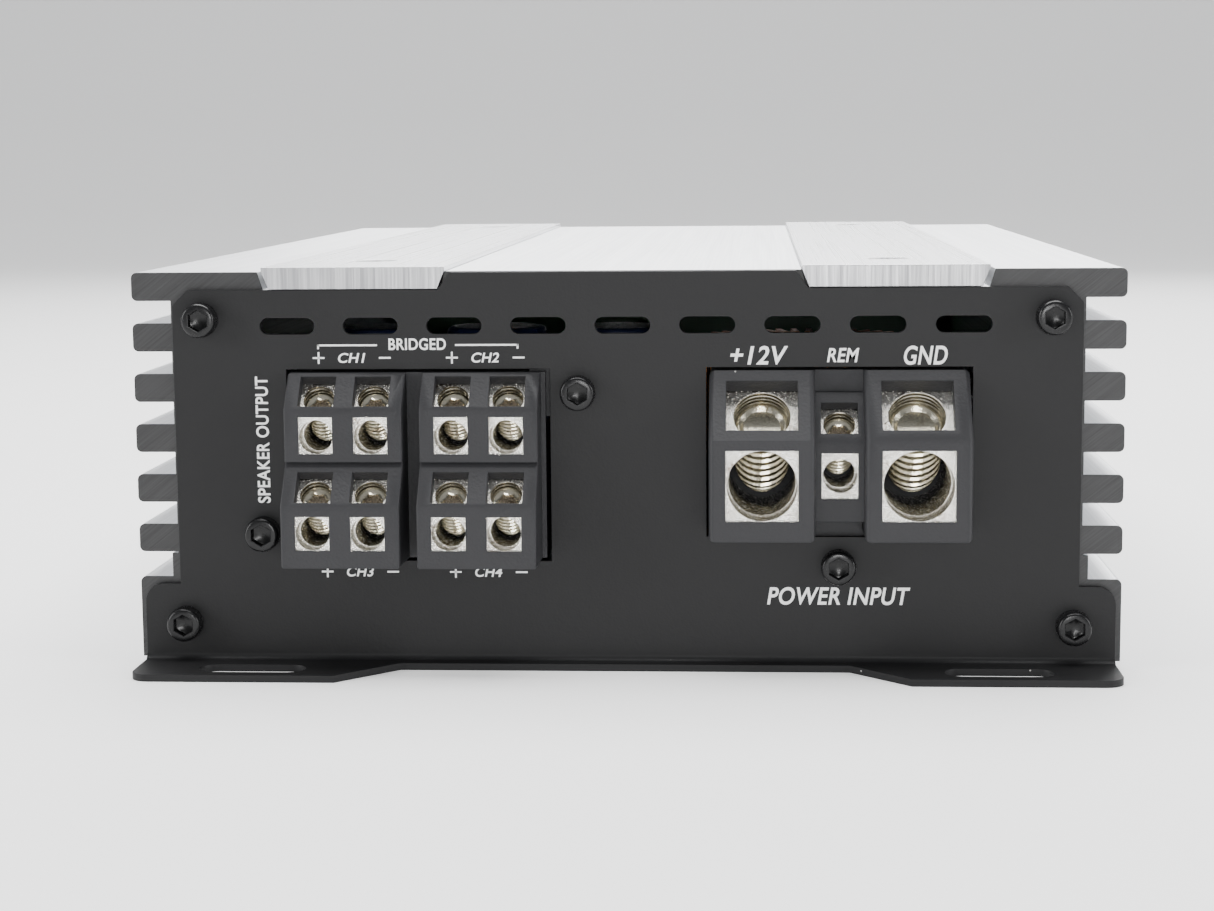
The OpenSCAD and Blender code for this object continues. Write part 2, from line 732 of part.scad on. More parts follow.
transformer_at = [30, 55 - half_len];
choke_at = [-40, 4.4];
transformer_r = [8, 22];                  // wound ring, inner and outer radius
transformer_h = 38;
choke_r = [5, 15];
choke_h = 14;
wire_t = 1.9;                             // thickness of the wound layer
core_gap = 0.1;
input_cap_xs = [-47, -25, -3];
input_cap_size = [9, 41.2];               // radius, height
input_cap_y = 41.8 - half_len;
output_cap_xs = [-6, 14, 34];
output_cap_size = [8, 30];
output_cap_y = 26.4;

module winding(at, r, h) {
    translate([at[0], at[1], 0]) difference() {
        ring(r[0], r[1], board_top, h);
        ring(r[0] + wire_t, r[1] - wire_t, board_top + wire_t, h - 2 * wire_t);
    }
}

module wound_core(at, r, h) {
    inset = wire_t + core_gap;
    translate([at[0], at[1], 0]) ring(r[0] + inset, r[1] - inset, board_top + inset, h - 2 * inset);
}

module transformer_core() { color("dimgray") wound_core(transformer_at, transformer_r, transformer_h); }
module transformer_winding() { color("peru") winding(transformer_at, transformer_r, transformer_h); }
module choke_core() { color("dimgray") wound_core(choke_at, choke_r, choke_h); }
module choke_winding() { color("peru") winding(choke_at, choke_r, choke_h); }

module filter_capacitors() {
    color("midnightblue") {
        for (x = input_cap_xs)
            translate([x, input_cap_y, board_top]) cylinder(h = input_cap_size[1], r = input_cap_size[0]);
        for (x = output_cap_xs)
            translate([x, output_cap_y, board_top]) cylinder(h = output_cap_size[1], r = output_cap_size[0]);
    }
}

pad_t = 0.3;
pad_w = 12;
pad_h = 18;
case_w_small = 10;                        // transistor body: width, height, thickness
case_h_small = 15.5;
case_t = 4.6;
transistor_z = 18;
transistor_ys = [for (i = [-2 : 2]) i * 24];
lead_t = 0.8;
lead_pitch = 2.5;
lead_bend_z = 15.6;
clamp_screw_ys = [for (i = [-1, 1]) i * 36];
clamp_screw_z = 29.3;
clamp_bar_t = 3;
clamp_bar_h = 8;
clamp_bar_len = 124;
clamp_head_r = 2.8;
clamp_head_h = 2.4;

module thermal_pads() {
    color("gray") for (side = [-1, 1], y = transistor_ys)
        translate([side > 0 ? inner_x - pad_t : -inner_x, y - pad_w / 2, transistor_z - 1])
            cube([pad_t, pad_w, pad_h]);
}

module output_transistors() {
    body_x = inner_x - pad_t - case_t;
    foot_x = block_x - 1.4;               // the leads step inwards past the edge block
    color("black") for (side = [0, 1]) mirror([side, 0, 0]) for (y = transistor_ys) {
        translate([body_x, y - case_w_small / 2, transistor_z]) cube([case_t, case_w_small, case_h_small]);
        for (lead = [-lead_pitch, 0, lead_pitch]) translate([0, y + lead - lead_t / 2, 0]) {
            translate([foot_x - lead_t / 2, 0, board_top])
                cube([lead_t, lead_t, lead_bend_z + lead_t - board_top]);
            translate([foot_x, 0, lead_bend_z]) cube([body_x + 2 - foot_x, lead_t, lead_t]);
            translate([body_x + 2 - lead_t / 2, 0, lead_bend_z])
                cube([lead_t, lead_t, transistor_z - lead_bend_z]);
        }
    }
}

module transistor_clamp_bars() {
    outer = inner_x - pad_t - case_t;
    color("silver") for (side = [-1, 1]) difference() {
        translate([side > 0 ? outer - clamp_bar_t : -outer, -clamp_bar_len / 2,
            clamp_screw_z - clamp_bar_h / 2]) cube([clamp_bar_t, clamp_bar_len, clamp_bar_h]);
        for (y = clamp_screw_ys) translate([side * (outer - clamp_bar_t - 1), y, clamp_screw_z])
            rotate([0, side * 90, 0]) cylinder(h = clamp_bar_t + 2, r = screw_hole_r);
    }
}

module transistor_clamp_screws() {
    bar_face = inner_x - pad_t - case_t - clamp_bar_t;
    color("silver") for (side = [-1, 1], y = clamp_screw_ys)
        translate([side * bar_face, y, clamp_screw_z]) rotate([0, side * 90, 0]) difference() {
            union() {
                translate([0, 0, -clamp_head_h]) cylinder(h = clamp_head_h, r = clamp_head_r);
                cylinder(h = inner_x - bar_face + clamp_hole_depth - 1, r = m3_r);
            }
            translate([0, 0, -clamp_head_h - 0.6]) key_pocket(key_af, 2);
        }
}

// ---------- rear connectors and controls ----------

shell_back = 3;

module rca_housing() {
    y0 = panel_t + piece_gap;
    color([0.1, 0.1, 0.11]) at_rear() difference() {
        union() {
            translate([jack_places[0] - 7, y0, board_top + 2]) cube([30, control_y - y0 - piece_gap, 33]);
            for (x = jack_places, z = control_rows) {
                rod_y(x, z, jack_base_r, -jack_base_out, y0 + 1);
                rod_y(x, z, jack_r - shell_t - piece_gap, -jack_out + 0.5, y0 + 1);
            }
        }
        for (x = jack_places, z = control_rows) {
            rod_y(x, z, contact_r + thread_gap, -jack_out - 1, control_y + 1);
            difference() {
                rod_y(x, z, jack_r, -jack_out - 1, shell_back + piece_gap);
                rod_y(x, z, jack_r - shell_t - piece_gap, -jack_out - 2, shell_back + 1);
            }
        }
    }
}

module rca_shells() {
    color("silver") at_rear() for (x = jack_places, z = control_rows) difference() {
        union() {
            rod_y(x, z, jack_r, -jack_out, -jack_base_out - piece_gap);
            rod_y(x, z, jack_r - shell_step, -jack_out + 1, shell_back);
        }
        rod_y(x, z, jack_r - shell_t, -jack_out - 1, shell_back + 1);
    }
}

module rca_contacts() {
    color("gold") at_rear() for (x = jack_places, z = control_rows) difference() {
        rod_y(x, z, contact_r, -jack_out + 1, control_y + 2);
        rod_y(x, z, contact_r - 0.45, -jack_out, 0);
    }
}

module potentiometer_bodies() {
    y0 = panel_t + piece_gap;
    color([0.15, 0.2, 0.3]) at_rear() for (x = knob_places, z = control_rows) difference() {
        union() {
            translate([x - pot_w / 2, y0, z - pot_h / 2]) cube([pot_w, control_y - y0 - piece_gap, pot_h]);
            rod_y(x, z, pot_neck_r, 0.3, y0 + 1);
        }
        rod_y(x, z, shaft_r + thread_gap, -1, control_y - 1.5);
    }
}

// Knob with its shaft, a pointer slot across its face
module control_knob(x, z) {
    color([0.12, 0.12, 0.13]) at_rear() difference() {
        union() {
            rod_y(x, z, knob_d / 2, -knob_out, -0.4);
            rod_y(x, z, shaft_r, -1, control_y - 2);
        }
        translate([x - 0.5, -knob_out - 1, z]) cube([1, 1.6, knob_d]);
    }
}
module level_knob_1() { control_knob(knob_places[0], control_rows[0]); }
module high_pass_knob_1() { control_knob(knob_places[1], control_rows[0]); }
module low_pass_knob_1() { control_knob(knob_places[2], control_rows[0]); }
module level_knob_2() { control_knob(knob_places[0], control_rows[1]); }
module high_pass_knob_2() { control_knob(knob_places[1], control_rows[1]); }
module low_pass_knob_2() { control_knob(knob_places[2], control_rows[1]); }

module switch_bodies() {
    y0 = panel_t + piece_gap;
    color("silver") at_rear() for (z = control_rows) difference() {
        translate([switch_x - 8, y0, z - 4]) cube([16, control_y - y0 - piece_gap, 8]);
        translate([switch_x - slider_reach, 0, z - slider_gap]) cube([2 * slider_reach, 6, 2 * slider_gap]);
    }
}

module filter_switch(z) {
    color([0.1, 0.1, 0.1]) at_rear() translate([switch_x - lever_w / 2, -lever_out, z - lever_h / 2])
        cube([lever_w, lever_out + 5.6, lever_h]);
}
module filter_switch_1() { filter_switch(control_rows[0]); }
module filter_switch_2() { filter_switch(control_rows[1]); }

module lamp(z) {
    at_rear() {
        rod_y(lamp_x, z, 1.5, -0.8, 3);
        rod_y(lamp_x, z, 2, 2.9, control_y - 0.1);
    }
}
module power_lamp() { color("limegreen") lamp(control_rows[0]); }
module protect_lamp() { color("red") lamp(control_rows[1]); }

heatsink();
bottom_cover();
bottom_cover_screws();
trim_bar_left();
trim_bar_right();
trim_bar_screws();
front_panel();
rear_panel();
front_panel_screws();
rear_panel_screws();
speaker_housing();
speaker_clamps();
speaker_block_screws();
speaker_set_screw_1();
speaker_set_screw_2();
speaker_set_screw_3();
speaker_set_screw_4();
speaker_set_screw_5();
speaker_set_screw_6();
speaker_set_screw_7();
speaker_set_screw_8();
power_housing();
power_clamp_positive();
power_clamp_ground();
remote_clamp();
power_block_screw();
power_set_screw_positive();
power_set_screw_ground();
remote_set_screw();
main_board();
control_board();
transformer_core();
transformer_winding();
choke_core();
choke_winding();
filter_capacitors();
output_transistors();
thermal_pads();
transistor_clamp_bars();
transistor_clamp_screws();
rca_housing();
rca_shells();
rca_contacts();
potentiometer_bodies();
level_knob_1();
high_pass_knob_1();
low_pass_knob_1();
level_knob_2();
high_pass_knob_2();
low_pass_knob_2();
switch_bodies();
filter_switch_1();
filter_switch_2();
power_lamp();
protect_lamp();
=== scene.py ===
import bmesh
import bpy
import json
import math
from mathutils import Matrix, Vector


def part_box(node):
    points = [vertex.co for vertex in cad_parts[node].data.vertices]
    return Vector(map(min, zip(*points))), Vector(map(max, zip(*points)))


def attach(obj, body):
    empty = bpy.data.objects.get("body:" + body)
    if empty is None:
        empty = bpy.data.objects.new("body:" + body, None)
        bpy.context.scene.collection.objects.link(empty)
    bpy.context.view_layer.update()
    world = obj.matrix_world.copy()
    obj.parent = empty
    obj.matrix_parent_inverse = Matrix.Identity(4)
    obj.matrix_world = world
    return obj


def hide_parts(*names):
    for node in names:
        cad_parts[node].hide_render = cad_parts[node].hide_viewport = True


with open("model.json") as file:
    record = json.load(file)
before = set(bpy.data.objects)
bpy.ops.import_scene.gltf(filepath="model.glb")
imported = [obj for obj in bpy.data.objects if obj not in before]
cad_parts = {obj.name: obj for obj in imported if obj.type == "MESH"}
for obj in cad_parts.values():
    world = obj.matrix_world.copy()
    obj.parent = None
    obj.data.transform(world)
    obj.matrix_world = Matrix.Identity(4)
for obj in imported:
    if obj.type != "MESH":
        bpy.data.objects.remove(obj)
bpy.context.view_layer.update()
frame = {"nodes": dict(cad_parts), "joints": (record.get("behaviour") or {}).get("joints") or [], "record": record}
mm = 0.001
joints = {j["name"]: j for j in frame["joints"]}
print("frame loaded:", len(frame["nodes"]), "CAD nodes")

# places taken from the frame
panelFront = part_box("trim_bar_left")[0].y       # outer face of the terminal panel
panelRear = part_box("trim_bar_left")[1].y        # outer face of the input panel
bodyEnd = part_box("heatsink")[1].y
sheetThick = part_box("bottom_cover")[1].z
screwAxis = Vector(joints["power_set_screw_positive_travel"]["axis"]).normalized()


# ---------- camera, floor and lights ----------

cameraSet = {
    "lens": 68.79,                               # for a 36 mm wide sensor
    "place": (21.7 * mm, -481.5 * mm, 83.48 * mm),
    "yaw": -3.76,                                # degrees, to the left
    "pitch": -7.45,                              # degrees, downwards
    "roll": -0.48,
}
lightSet = {
    "sky": (0.95, 0.97, 1.0), "skyPower": 0.36,
    "top": {"place": (0.0, 0.1, 0.8), "aim": (0, 0.02, 0.05), "size": (0.8, 0.8), "power": 20},
    "left": {"place": (-0.9, -0.5, 0.3), "aim": (0, -0.11, 0.04), "size": (0.3, 0.5), "power": 7},
    "right": {"place": (0.95, -0.45, 0.3), "aim": (0, -0.11, 0.04), "size": (0.25, 0.5), "power": 6},
    "front": {"place": (0.05, -1.0, 0.13), "aim": (0, -0.11, 0.04), "size": (0.16, 0.1), "power": 2.6},
    "back": {"place": (0.1, 0.9, 0.5), "aim": (0, 0.05, 0.05), "size": (0.8, 0.4), "power": 7},
}


def makeCamera(s):
    data = bpy.data.cameras.new("camera")
    data.sensor_width = 36
    data.lens = s["lens"]
    data.clip_start = 0.01
    data.clip_end = 20
    cam = bpy.data.objects.new("camera", data)
    bpy.context.scene.collection.objects.link(cam)
    yaw, pitch, roll = (math.radians(s[k]) for k in ("yaw", "pitch", "roll"))
    turn = Matrix.Rotation(-yaw, 4, "Z") @ Matrix.Rotation(math.pi / 2 + pitch, 4, "X") @ Matrix.Rotation(roll, 4, "Z")
    cam.matrix_world = Matrix.Translation(s["place"]) @ turn
    bpy.context.scene.camera = cam


def makeLight(name, s):
    data = bpy.data.lights.new(name, "AREA")
    data.shape = "RECTANGLE"
    data.size, data.size_y = s["size"]
    data.energy = s["power"]
    lamp = bpy.data.objects.new(name, data)
    bpy.context.scene.collection.objects.link(lamp)
    place, aim = Vector(s["place"]), Vector(s["aim"])
    lamp.matrix_world = Matrix.Translation(place) @ (aim - place).to_track_quat("-Z", "Y").to_matrix().to_4x4()


def makeStudio(s):
    world = bpy.data.worlds.new("studio")
    bpy.context.scene.world = world
    world.use_nodes = True
    world.node_tree.nodes["Background"].inputs["Color"].default_value = (*s["sky"], 1)
    world.node_tree.nodes["Background"].inputs["Strength"].default_value = s["skyPower"]
    for name in ("top", "left", "right", "front", "back"):
        makeLight(name + "Light", s[name])


# ---------- materials ----------

def addNode(tree, kind, ins=None, **props):
    n = tree.nodes.new(kind)
    for k, v in props.items():
        setattr(n, k, v)
    for k, v in (ins or {}).items():
        if isinstance(v, bpy.types.NodeSocket):
            tree.links.new(v, n.inputs[k])
        else:
            n.inputs[k].default_value = v
    return n


def mathNode(tree, op, a, b=0.0, c=0.0):
    return addNode(tree, "ShaderNodeMath", {0: a, 1: b, 2: c}, operation=op).outputs[0]


def ramp(tree, value, low, high):                # 0 below low, 1 above high
    n = addNode(tree, "ShaderNodeMapRange", {"Value": value, "From Min": low, "From Max": high})
    n.clamp = True
    return n.outputs["Result"]


def mixColour(tree, factor, a, b):
    n = addNode(tree, "ShaderNodeMix", data_type="RGBA")
    for key, v in ((0, factor), (6, a), (7, b)):
        if isinstance(v, bpy.types.NodeSocket):
            tree.links.new(v, n.inputs[key])
        else:
            n.inputs[key].default_value = v if key == 0 else (*v, 1)
    return n.outputs[2]


def newGroup(name, ins, outs):
    tree = bpy.data.node_groups.new(name, "ShaderNodeTree")
    for n, kind, value in ins:
        s = tree.interface.new_socket(name=n, in_out="INPUT", socket_type=kind)
        if value is not None:
            s.default_value = value
    for n in outs:
        tree.interface.new_socket(name=n, in_out="OUTPUT", socket_type="NodeSocketFloat")
    return tree, tree.nodes.new("NodeGroupInput"), tree.nodes.new("NodeGroupOutput")


def makeGrainGroup():                            # pebbled skin of powder coat and moulded plastic
    tree, gi, go = newGroup("pebbleGrain",
        [("Vector", "NodeSocketVector", None), ("Scale", "NodeSocketFloat", 3000.0), ("Mottle", "NodeSocketFloat", 60.0)],
        ["Height", "Shade"])
    cells = addNode(tree, "ShaderNodeTexVoronoi", {"Vector": gi.outputs["Vector"], "Scale": gi.outputs["Scale"]},
        feature="SMOOTH_F1")
    soft = addNode(tree, "ShaderNodeTexNoise",
        {"Vector": gi.outputs["Vector"], "Scale": mathNode(tree, "MULTIPLY", gi.outputs["Scale"], 0.45), "Detail": 3.0})
    broad = addNode(tree, "ShaderNodeTexNoise",
        {"Vector": gi.outputs["Vector"], "Scale": gi.outputs["Mottle"], "Detail": 4.0, "Roughness": 0.6})
    height = mathNode(tree, "MULTIPLY_ADD", soft.outputs["Fac"], 0.7, cells.outputs["Distance"])
    tree.links.new(height, go.inputs["Height"])
    tree.links.new(ramp(tree, broad.outputs["Fac"], 0.3, 0.7), go.inputs["Shade"])
    return tree


def makeBrushedGroup():                          # long fine scratches; Stretch and Scale set their scale
    tree, gi, go = newGroup("brushedLines",
        [("Vector", "NodeSocketVector", None), ("Stretch", "NodeSocketVector", (1.0, 1.0, 1.0)),
            ("Scale", "NodeSocketFloat", 1.0)],
        ["Lines", "Height"])
    v = addNode(tree, "ShaderNodeVectorMath", {0: gi.outputs["Vector"], 1: gi.outputs["Stretch"]}, operation="MULTIPLY")
    fine = addNode(tree, "ShaderNodeTexNoise", {"Vector": v.outputs[0], "Scale": gi.outputs["Scale"], "Detail": 2.0})
    wide = addNode(tree, "ShaderNodeTexNoise",
        {"Vector": v.outputs[0], "Scale": mathNode(tree, "MULTIPLY", gi.outputs["Scale"], 0.2), "Detail": 3.0})
    both = mathNode(tree, "MULTIPLY_ADD", wide.outputs["Fac"], 0.6, fine.outputs["Fac"])
    tree.links.new(ramp(tree, both, 0.55, 1.05), go.inputs["Lines"])
    tree.links.new(both, go.inputs["Height"])
    return tree


def makeDustGroup():                             # scattered specks of lint
    tree, gi, go = newGroup("dustSpecks",
        [("Vector", "NodeSocketVector", None), ("Scale", "NodeSocketFloat", 300.0), ("Size", "NodeSocketFloat", 0.08)],
        ["Mask"])
    cells = addNode(tree, "ShaderNodeTexVoronoi", {"Vector": gi.outputs["Vector"], "Scale": gi.outputs["Scale"]})
    pick = addNode(tree, "ShaderNodeSeparateColor", {"Color": cells.outputs["Color"]})
    reach = mathNode(tree, "MULTIPLY", pick.outputs[0], gi.outputs["Size"])
    near = mathNode(tree, "LESS_THAN", cells.outputs["Distance"], reach)
    rare = mathNode(tree, "GREATER_THAN", pick.outputs[1], 0.86)
    tree.links.new(mathNode(tree, "MULTIPLY", near, rare), go.inputs["Mask"])
    return tree


grainGroup = makeGrainGroup()
brushedGroup = makeBrushedGroup()
dustGroup = makeDustGroup()


def useGroup(tree, group, ins):
    n = tree.nodes.new("ShaderNodeGroup")
    n.node_tree = group
    for k, v in ins.items():
        if isinstance(v, bpy.types.NodeSocket):
            tree.links.new(v, n.inputs[k])
        else:
            n.inputs[k].default_value = v
    return n


def newMaterial(name, colour, roughness, metallic=0.0, **sockets):
    mat = bpy.data.materials.new(name)
    mat.use_nodes = True
    tree = mat.node_tree
    shader = tree.nodes["Principled BSDF"]
    shader.inputs["Base Color"].default_value = (*colour, 1)
    shader.inputs["Roughness"].default_value = roughness
    shader.inputs["Metallic"].default_value = metallic
    for k, v in sockets.items():
        shader.inputs[k.replace("_", " ")].default_value = v
    coords = tree.nodes.new("ShaderNodeTexCoord").outputs["Object"]
    return mat, tree, shader, coords


def addBump(tree, shader, height, strength, distance):
    bump = addNode(tree, "ShaderNodeBump", {"Height": height, "Strength": strength, "Distance": distance})
    tree.links.new(bump.outputs["Normal"], shader.inputs["Normal"])


def grainedMaterial(name, dark, light, roughness, scale, bump, dust=0.0, spread=0.08, **sockets):
    mat, tree, shader, coords = newMaterial(name, dark, roughness, 0.0, **sockets)
    grain = useGroup(tree, grainGroup, {"Vector": coords, "Scale": scale, "Mottle": 45.0})
    colour = mixColour(tree, grain.outputs["Shade"], dark, light)
    if dust:
        specks = useGroup(tree, dustGroup, {"Vector": coords, "Scale": 260.0, "Size": dust})
        colour = mixColour(tree, mathNode(tree, "MULTIPLY", specks.outputs["Mask"], 0.55), colour, (0.55, 0.54, 0.52))
    tree.links.new(colour, shader.inputs["Base Color"])
    rough = mathNode(tree, "MULTIPLY_ADD", grain.outputs["Shade"], spread, roughness - spread / 2)
    tree.links.new(rough, shader.inputs["Roughness"])
    addBump(tree, shader, grain.outputs["Height"], bump, 0.00012)
    return mat


def brushedMaterial(name, dark, light, roughness, stretch, bump, metallic=1.0, **sockets):
    mat, tree, shader, coords = newMaterial(name, light, roughness, metallic, **sockets)
    lines = useGroup(tree, brushedGroup, {"Vector": coords, "Stretch": stretch, "Scale": 1.0})
    tree.links.new(mixColour(tree, lines.outputs["Lines"], dark, light), shader.inputs["Base Color"])
    rough = mathNode(tree, "MULTIPLY_ADD", lines.outputs["Lines"], -0.12, roughness + 0.06)
    tree.links.new(rough, shader.inputs["Roughness"])
    addBump(tree, shader, lines.outputs["Height"], bump, 0.00005)
    return mat, tree, shader, coords


def heatsinkMaterial():                          # silver long faces, end faces sprayed black over saw marks
    mat, tree, shader, coords = newMaterial("satinAnodised", (0.82, 0.83, 0.84), 0.42, 1.0)
    lines = useGroup(tree, brushedGroup, {"Vector": coords, "Stretch": (2600.0, 12.0, 2600.0), "Scale": 1.0})
    cloud = addNode(tree, "ShaderNodeTexNoise", {"Vector": coords, "Scale": 18.0, "Detail": 3.0})
    silver = mixColour(tree, lines.outputs["Lines"], (0.70, 0.71, 0.73), (0.86, 0.87, 0.88))
    tilted = addNode(tree, "ShaderNodeMapping", {"Vector": coords, "Rotation": (0.0, math.radians(38), 0.0)})
    saw = useGroup(tree, brushedGroup, {"Vector": tilted.outputs[0], "Stretch": (90.0, 90.0, 3800.0), "Scale": 1.0})
    black = mixColour(tree, saw.outputs["Lines"], (0.004, 0.004, 0.0045), (0.020, 0.020, 0.021))
    apart = addNode(tree, "ShaderNodeSeparateXYZ", {"Vector": coords})
    end = ramp(tree, mathNode(tree, "ABSOLUTE", apart.outputs["Y"]), bodyEnd - 0.35 * mm, bodyEnd - 0.25 * mm)
    tree.links.new(mixColour(tree, end, silver, black), shader.inputs["Base Color"])
    tree.links.new(mathNode(tree, "SUBTRACT", 1.0, end), shader.inputs["Metallic"])
    rough = mathNode(tree, "MULTIPLY_ADD", cloud.outputs["Fac"], 0.10, 0.34)
    tree.links.new(mathNode(tree, "MULTIPLY_ADD", end, 0.10, rough), shader.inputs["Roughness"])
    height = mathNode(tree, "MULTIPLY_ADD", mathNode(tree, "MULTIPLY", saw.outputs["Height"], end), 1.4,
        mathNode(tree, "MULTIPLY", lines.outputs["Height"], 0.35))
    addBump(tree, shader, height, 0.35, 0.00006)
    return mat


def platedMaterial(name, colour, stain, roughness, scale, bump):   # nickel over rough metal, stained in the hollows
    mat, tree, shader, coords = newMaterial(name, colour, roughness, 1.0)
    pits = addNode(tree, "ShaderNodeTexNoise", {"Vector": coords, "Scale": scale, "Detail": 5.0, "Roughness": 0.7})
    patch = addNode(tree, "ShaderNodeTexNoise", {"Vector": coords, "Scale": scale * 0.14, "Detail": 3.0})
    stained, hollow = ramp(tree, patch.outputs["Fac"], 0.50, 0.70), ramp(tree, pits.outputs["Fac"], 0.56, 0.40)
    dirt = mathNode(tree, "MULTIPLY", stained, hollow)
    tree.links.new(mixColour(tree, dirt, colour, stain), shader.inputs["Base Color"])
    tree.links.new(mathNode(tree, "MULTIPLY_ADD", pits.outputs["Fac"], 0.22, roughness - 0.1), shader.inputs["Roughness"])
    addBump(tree, shader, pits.outputs["Fac"], bump, 0.0002)
    return mat


def plainMaterial(name, colour, other, roughness, metallic=0.0, scale=400.0, **sockets):
    mat, tree, shader, coords = newMaterial(name, colour, roughness, metallic, **sockets)
    cloud = addNode(tree, "ShaderNodeTexNoise", {"Vector": coords, "Scale": scale, "Detail": 4.0})
    tree.links.new(mixColour(tree, cloud.outputs["Fac"], colour, other), shader.inputs["Base Color"])
    rough = mathNode(tree, "MULTIPLY_ADD", cloud.outputs["Fac"], 0.12, roughness - 0.06)
    tree.links.new(rough, shader.inputs["Roughness"])
    addBump(tree, shader, cloud.outputs["Fac"], 0.08, 0.0001)
    return mat


satinAnodised = heatsinkMaterial()
powderCoat = grainedMaterial("powderCoat", (0.0090, 0.0090, 0.0095), (0.0120, 0.0120, 0.0125), 0.50, 2600.0, 0.12,
    dust=0.05, Specular_IOR_Level=0.20)
mouldedPlastic = grainedMaterial("mouldedPlastic", (0.0175, 0.0175, 0.0192), (0.0230, 0.0230, 0.0250), 0.55, 2300.0, 0.40,
    dust=0.06, Specular_IOR_Level=0.26)
blackPlastic = grainedMaterial("blackPlastic", (0.014, 0.014, 0.015), (0.018, 0.018, 0.019), 0.38, 3000.0, 0.12)
# sawn ends: grain and roughness are real, the darker metal colour is painted shade
shadedSawnBar = brushedMaterial("shadedSawnBar", (0.30, 0.30, 0.31), (0.52, 0.52, 0.53), 0.42, (3000.0, 3000.0, 60.0), 0.4)[0]
brightBar = brushedMaterial("brightBar", (0.62, 0.63, 0.65), (0.88, 0.88, 0.89), 0.30, (4200.0, 9.0, 260.0), 0.25)[0]
blackOxide = plainMaterial("blackOxide", (0.0035, 0.0035, 0.0038), (0.008, 0.008, 0.0085), 0.26, 0.0, 900.0,
    Specular_IOR_Level=0.26)
zincPlate = plainMaterial("zincPlate", (0.66, 0.67, 0.69), (0.78, 0.78, 0.80), 0.24, 1.0, 700.0)


def tappedMaterial():                            # rings of thread along the screws' axis: bump, and painted shade darkening the thread roots
    mat, tree, shader, coords = newMaterial("threadShadeNickel", (0.74, 0.70, 0.60), 0.22, 1.0)
    dot = addNode(tree, "ShaderNodeVectorMath", {0: coords, 1: tuple(screwAxis)}, operation="DOT_PRODUCT")
    along = dot.outputs["Value"]
    wave = mathNode(tree, "SINE", mathNode(tree, "MULTIPLY", along, 2 * math.pi / (0.9 * mm)))
    # dark bands are painted shade in the thread roots; the light bands are the nickel's own colour
    colour = mixColour(tree, ramp(tree, wave, -0.9, 0.2), (0.24, 0.21, 0.15), (0.80, 0.77, 0.68))
    tree.links.new(colour, shader.inputs["Base Color"])
    addBump(tree, shader, wave, 0.9, 0.00015)
    return mat


threadShadeNickel = tappedMaterial()
clampNickel = platedMaterial("clampNickel", (0.84, 0.82, 0.76), (0.22, 0.15, 0.09), 0.24, 1900.0, 1.0)
screwNickel = platedMaterial("screwNickel", (0.72, 0.68, 0.55), (0.36, 0.27, 0.14), 0.18, 1700.0, 0.15)
# darker nickel for the key sockets is painted shade in the recess; the stain in its pits is the metal's own
socketShadeNickel = platedMaterial("socketShadeNickel", (0.50, 0.42, 0.31), (0.14, 0.10, 0.06), 0.26, 1700.0, 0.2)
darkSteel = plainMaterial("darkSteel", (0.10, 0.10, 0.105), (0.16, 0.16, 0.165), 0.30, 0.9, 700.0)
goldFlash = plainMaterial("goldFlash", (0.80, 0.56, 0.20), (0.86, 0.62, 0.26), 0.20, 1.0)
legendPrint = plainMaterial("legendPrint", (0.78, 0.78, 0.77), (0.86, 0.86, 0.85), 0.55, 0.0, 2500.0)
solderMask = plainMaterial("solderMask", (0.010, 0.085, 0.030), (0.014, 0.120, 0.045), 0.30, 0.0, 120.0, Coat_Weight=0.4)
ferriteGrey = plainMaterial("ferriteGrey", (0.045, 0.045, 0.045), (0.075, 0.073, 0.07), 0.70)
enamelWire = plainMaterial("enamelWire", (0.62, 0.26, 0.08), (0.74, 0.36, 0.13), 0.22, 1.0, 300.0)
sleeveFilm = plainMaterial("sleeveFilm", (0.010, 0.016, 0.050), (0.016, 0.024, 0.070), 0.25, 0.0, 90.0, Coat_Weight=0.3)
bareAluminium = plainMaterial("bareAluminium", (0.74, 0.75, 0.76), (0.84, 0.84, 0.85), 0.28, 1.0)
epoxyBlack = plainMaterial("epoxyBlack", (0.012, 0.012, 0.012), (0.020, 0.020, 0.020), 0.55)
padGrey = plainMaterial("padGrey", (0.26, 0.27, 0.29), (0.34, 0.35, 0.37), 0.80)
bluePlastic = plainMaterial("bluePlastic", (0.012, 0.045, 0.14), (0.018, 0.06, 0.18), 0.42)
greenLens = plainMaterial("greenLens", (0.03, 0.55, 0.10), (0.05, 0.65, 0.14), 0.12, 0.0, 200.0,
    Transmission_Weight=0.6, Coat_Weight=0.4)
redLens = plainMaterial("redLens", (0.62, 0.03, 0.02), (0.72, 0.05, 0.03), 0.12, 0.0, 200.0,
    Transmission_Weight=0.6, Coat_Weight=0.4)
floorPaint = plainMaterial("floorPaint", (0.80, 0.80, 0.80), (0.81, 0.81, 0.81), 0.70, 0.0, 3.0, Specular_IOR_Level=0.2,
    Emission_Color=(1.0, 1.0, 1.0, 1.0), Emission_Strength=0.42)
print("materials built")


# ---------- shared ways of making pieces ----------

def finishPiece(name, bm, mats, body, nodes=(), sharp=35):
    mesh = bpy.data.meshes.new(name)
    bmesh.ops.recalc_face_normals(bm, faces=bm.faces[:])
    bm.to_mesh(mesh)
    bm.free()
    for m in mats if isinstance(mats, (list, tuple)) else [mats]:
        mesh.materials.append(m)
    mesh.polygons.foreach_set("use_smooth", [True] * len(mesh.polygons))
    mesh.set_sharp_from_angle(angle=math.radians(sharp))
    piece = bpy.data.objects.new(name, mesh)
    bpy.context.scene.collection.objects.link(piece)
    level = piece.modifiers.new("flatFacesStayFlat", "WEIGHTED_NORMAL")
    level.keep_sharp = True
    level.weight = 90
    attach(piece, body)
    if nodes:
        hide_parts(*nodes)
    return piece


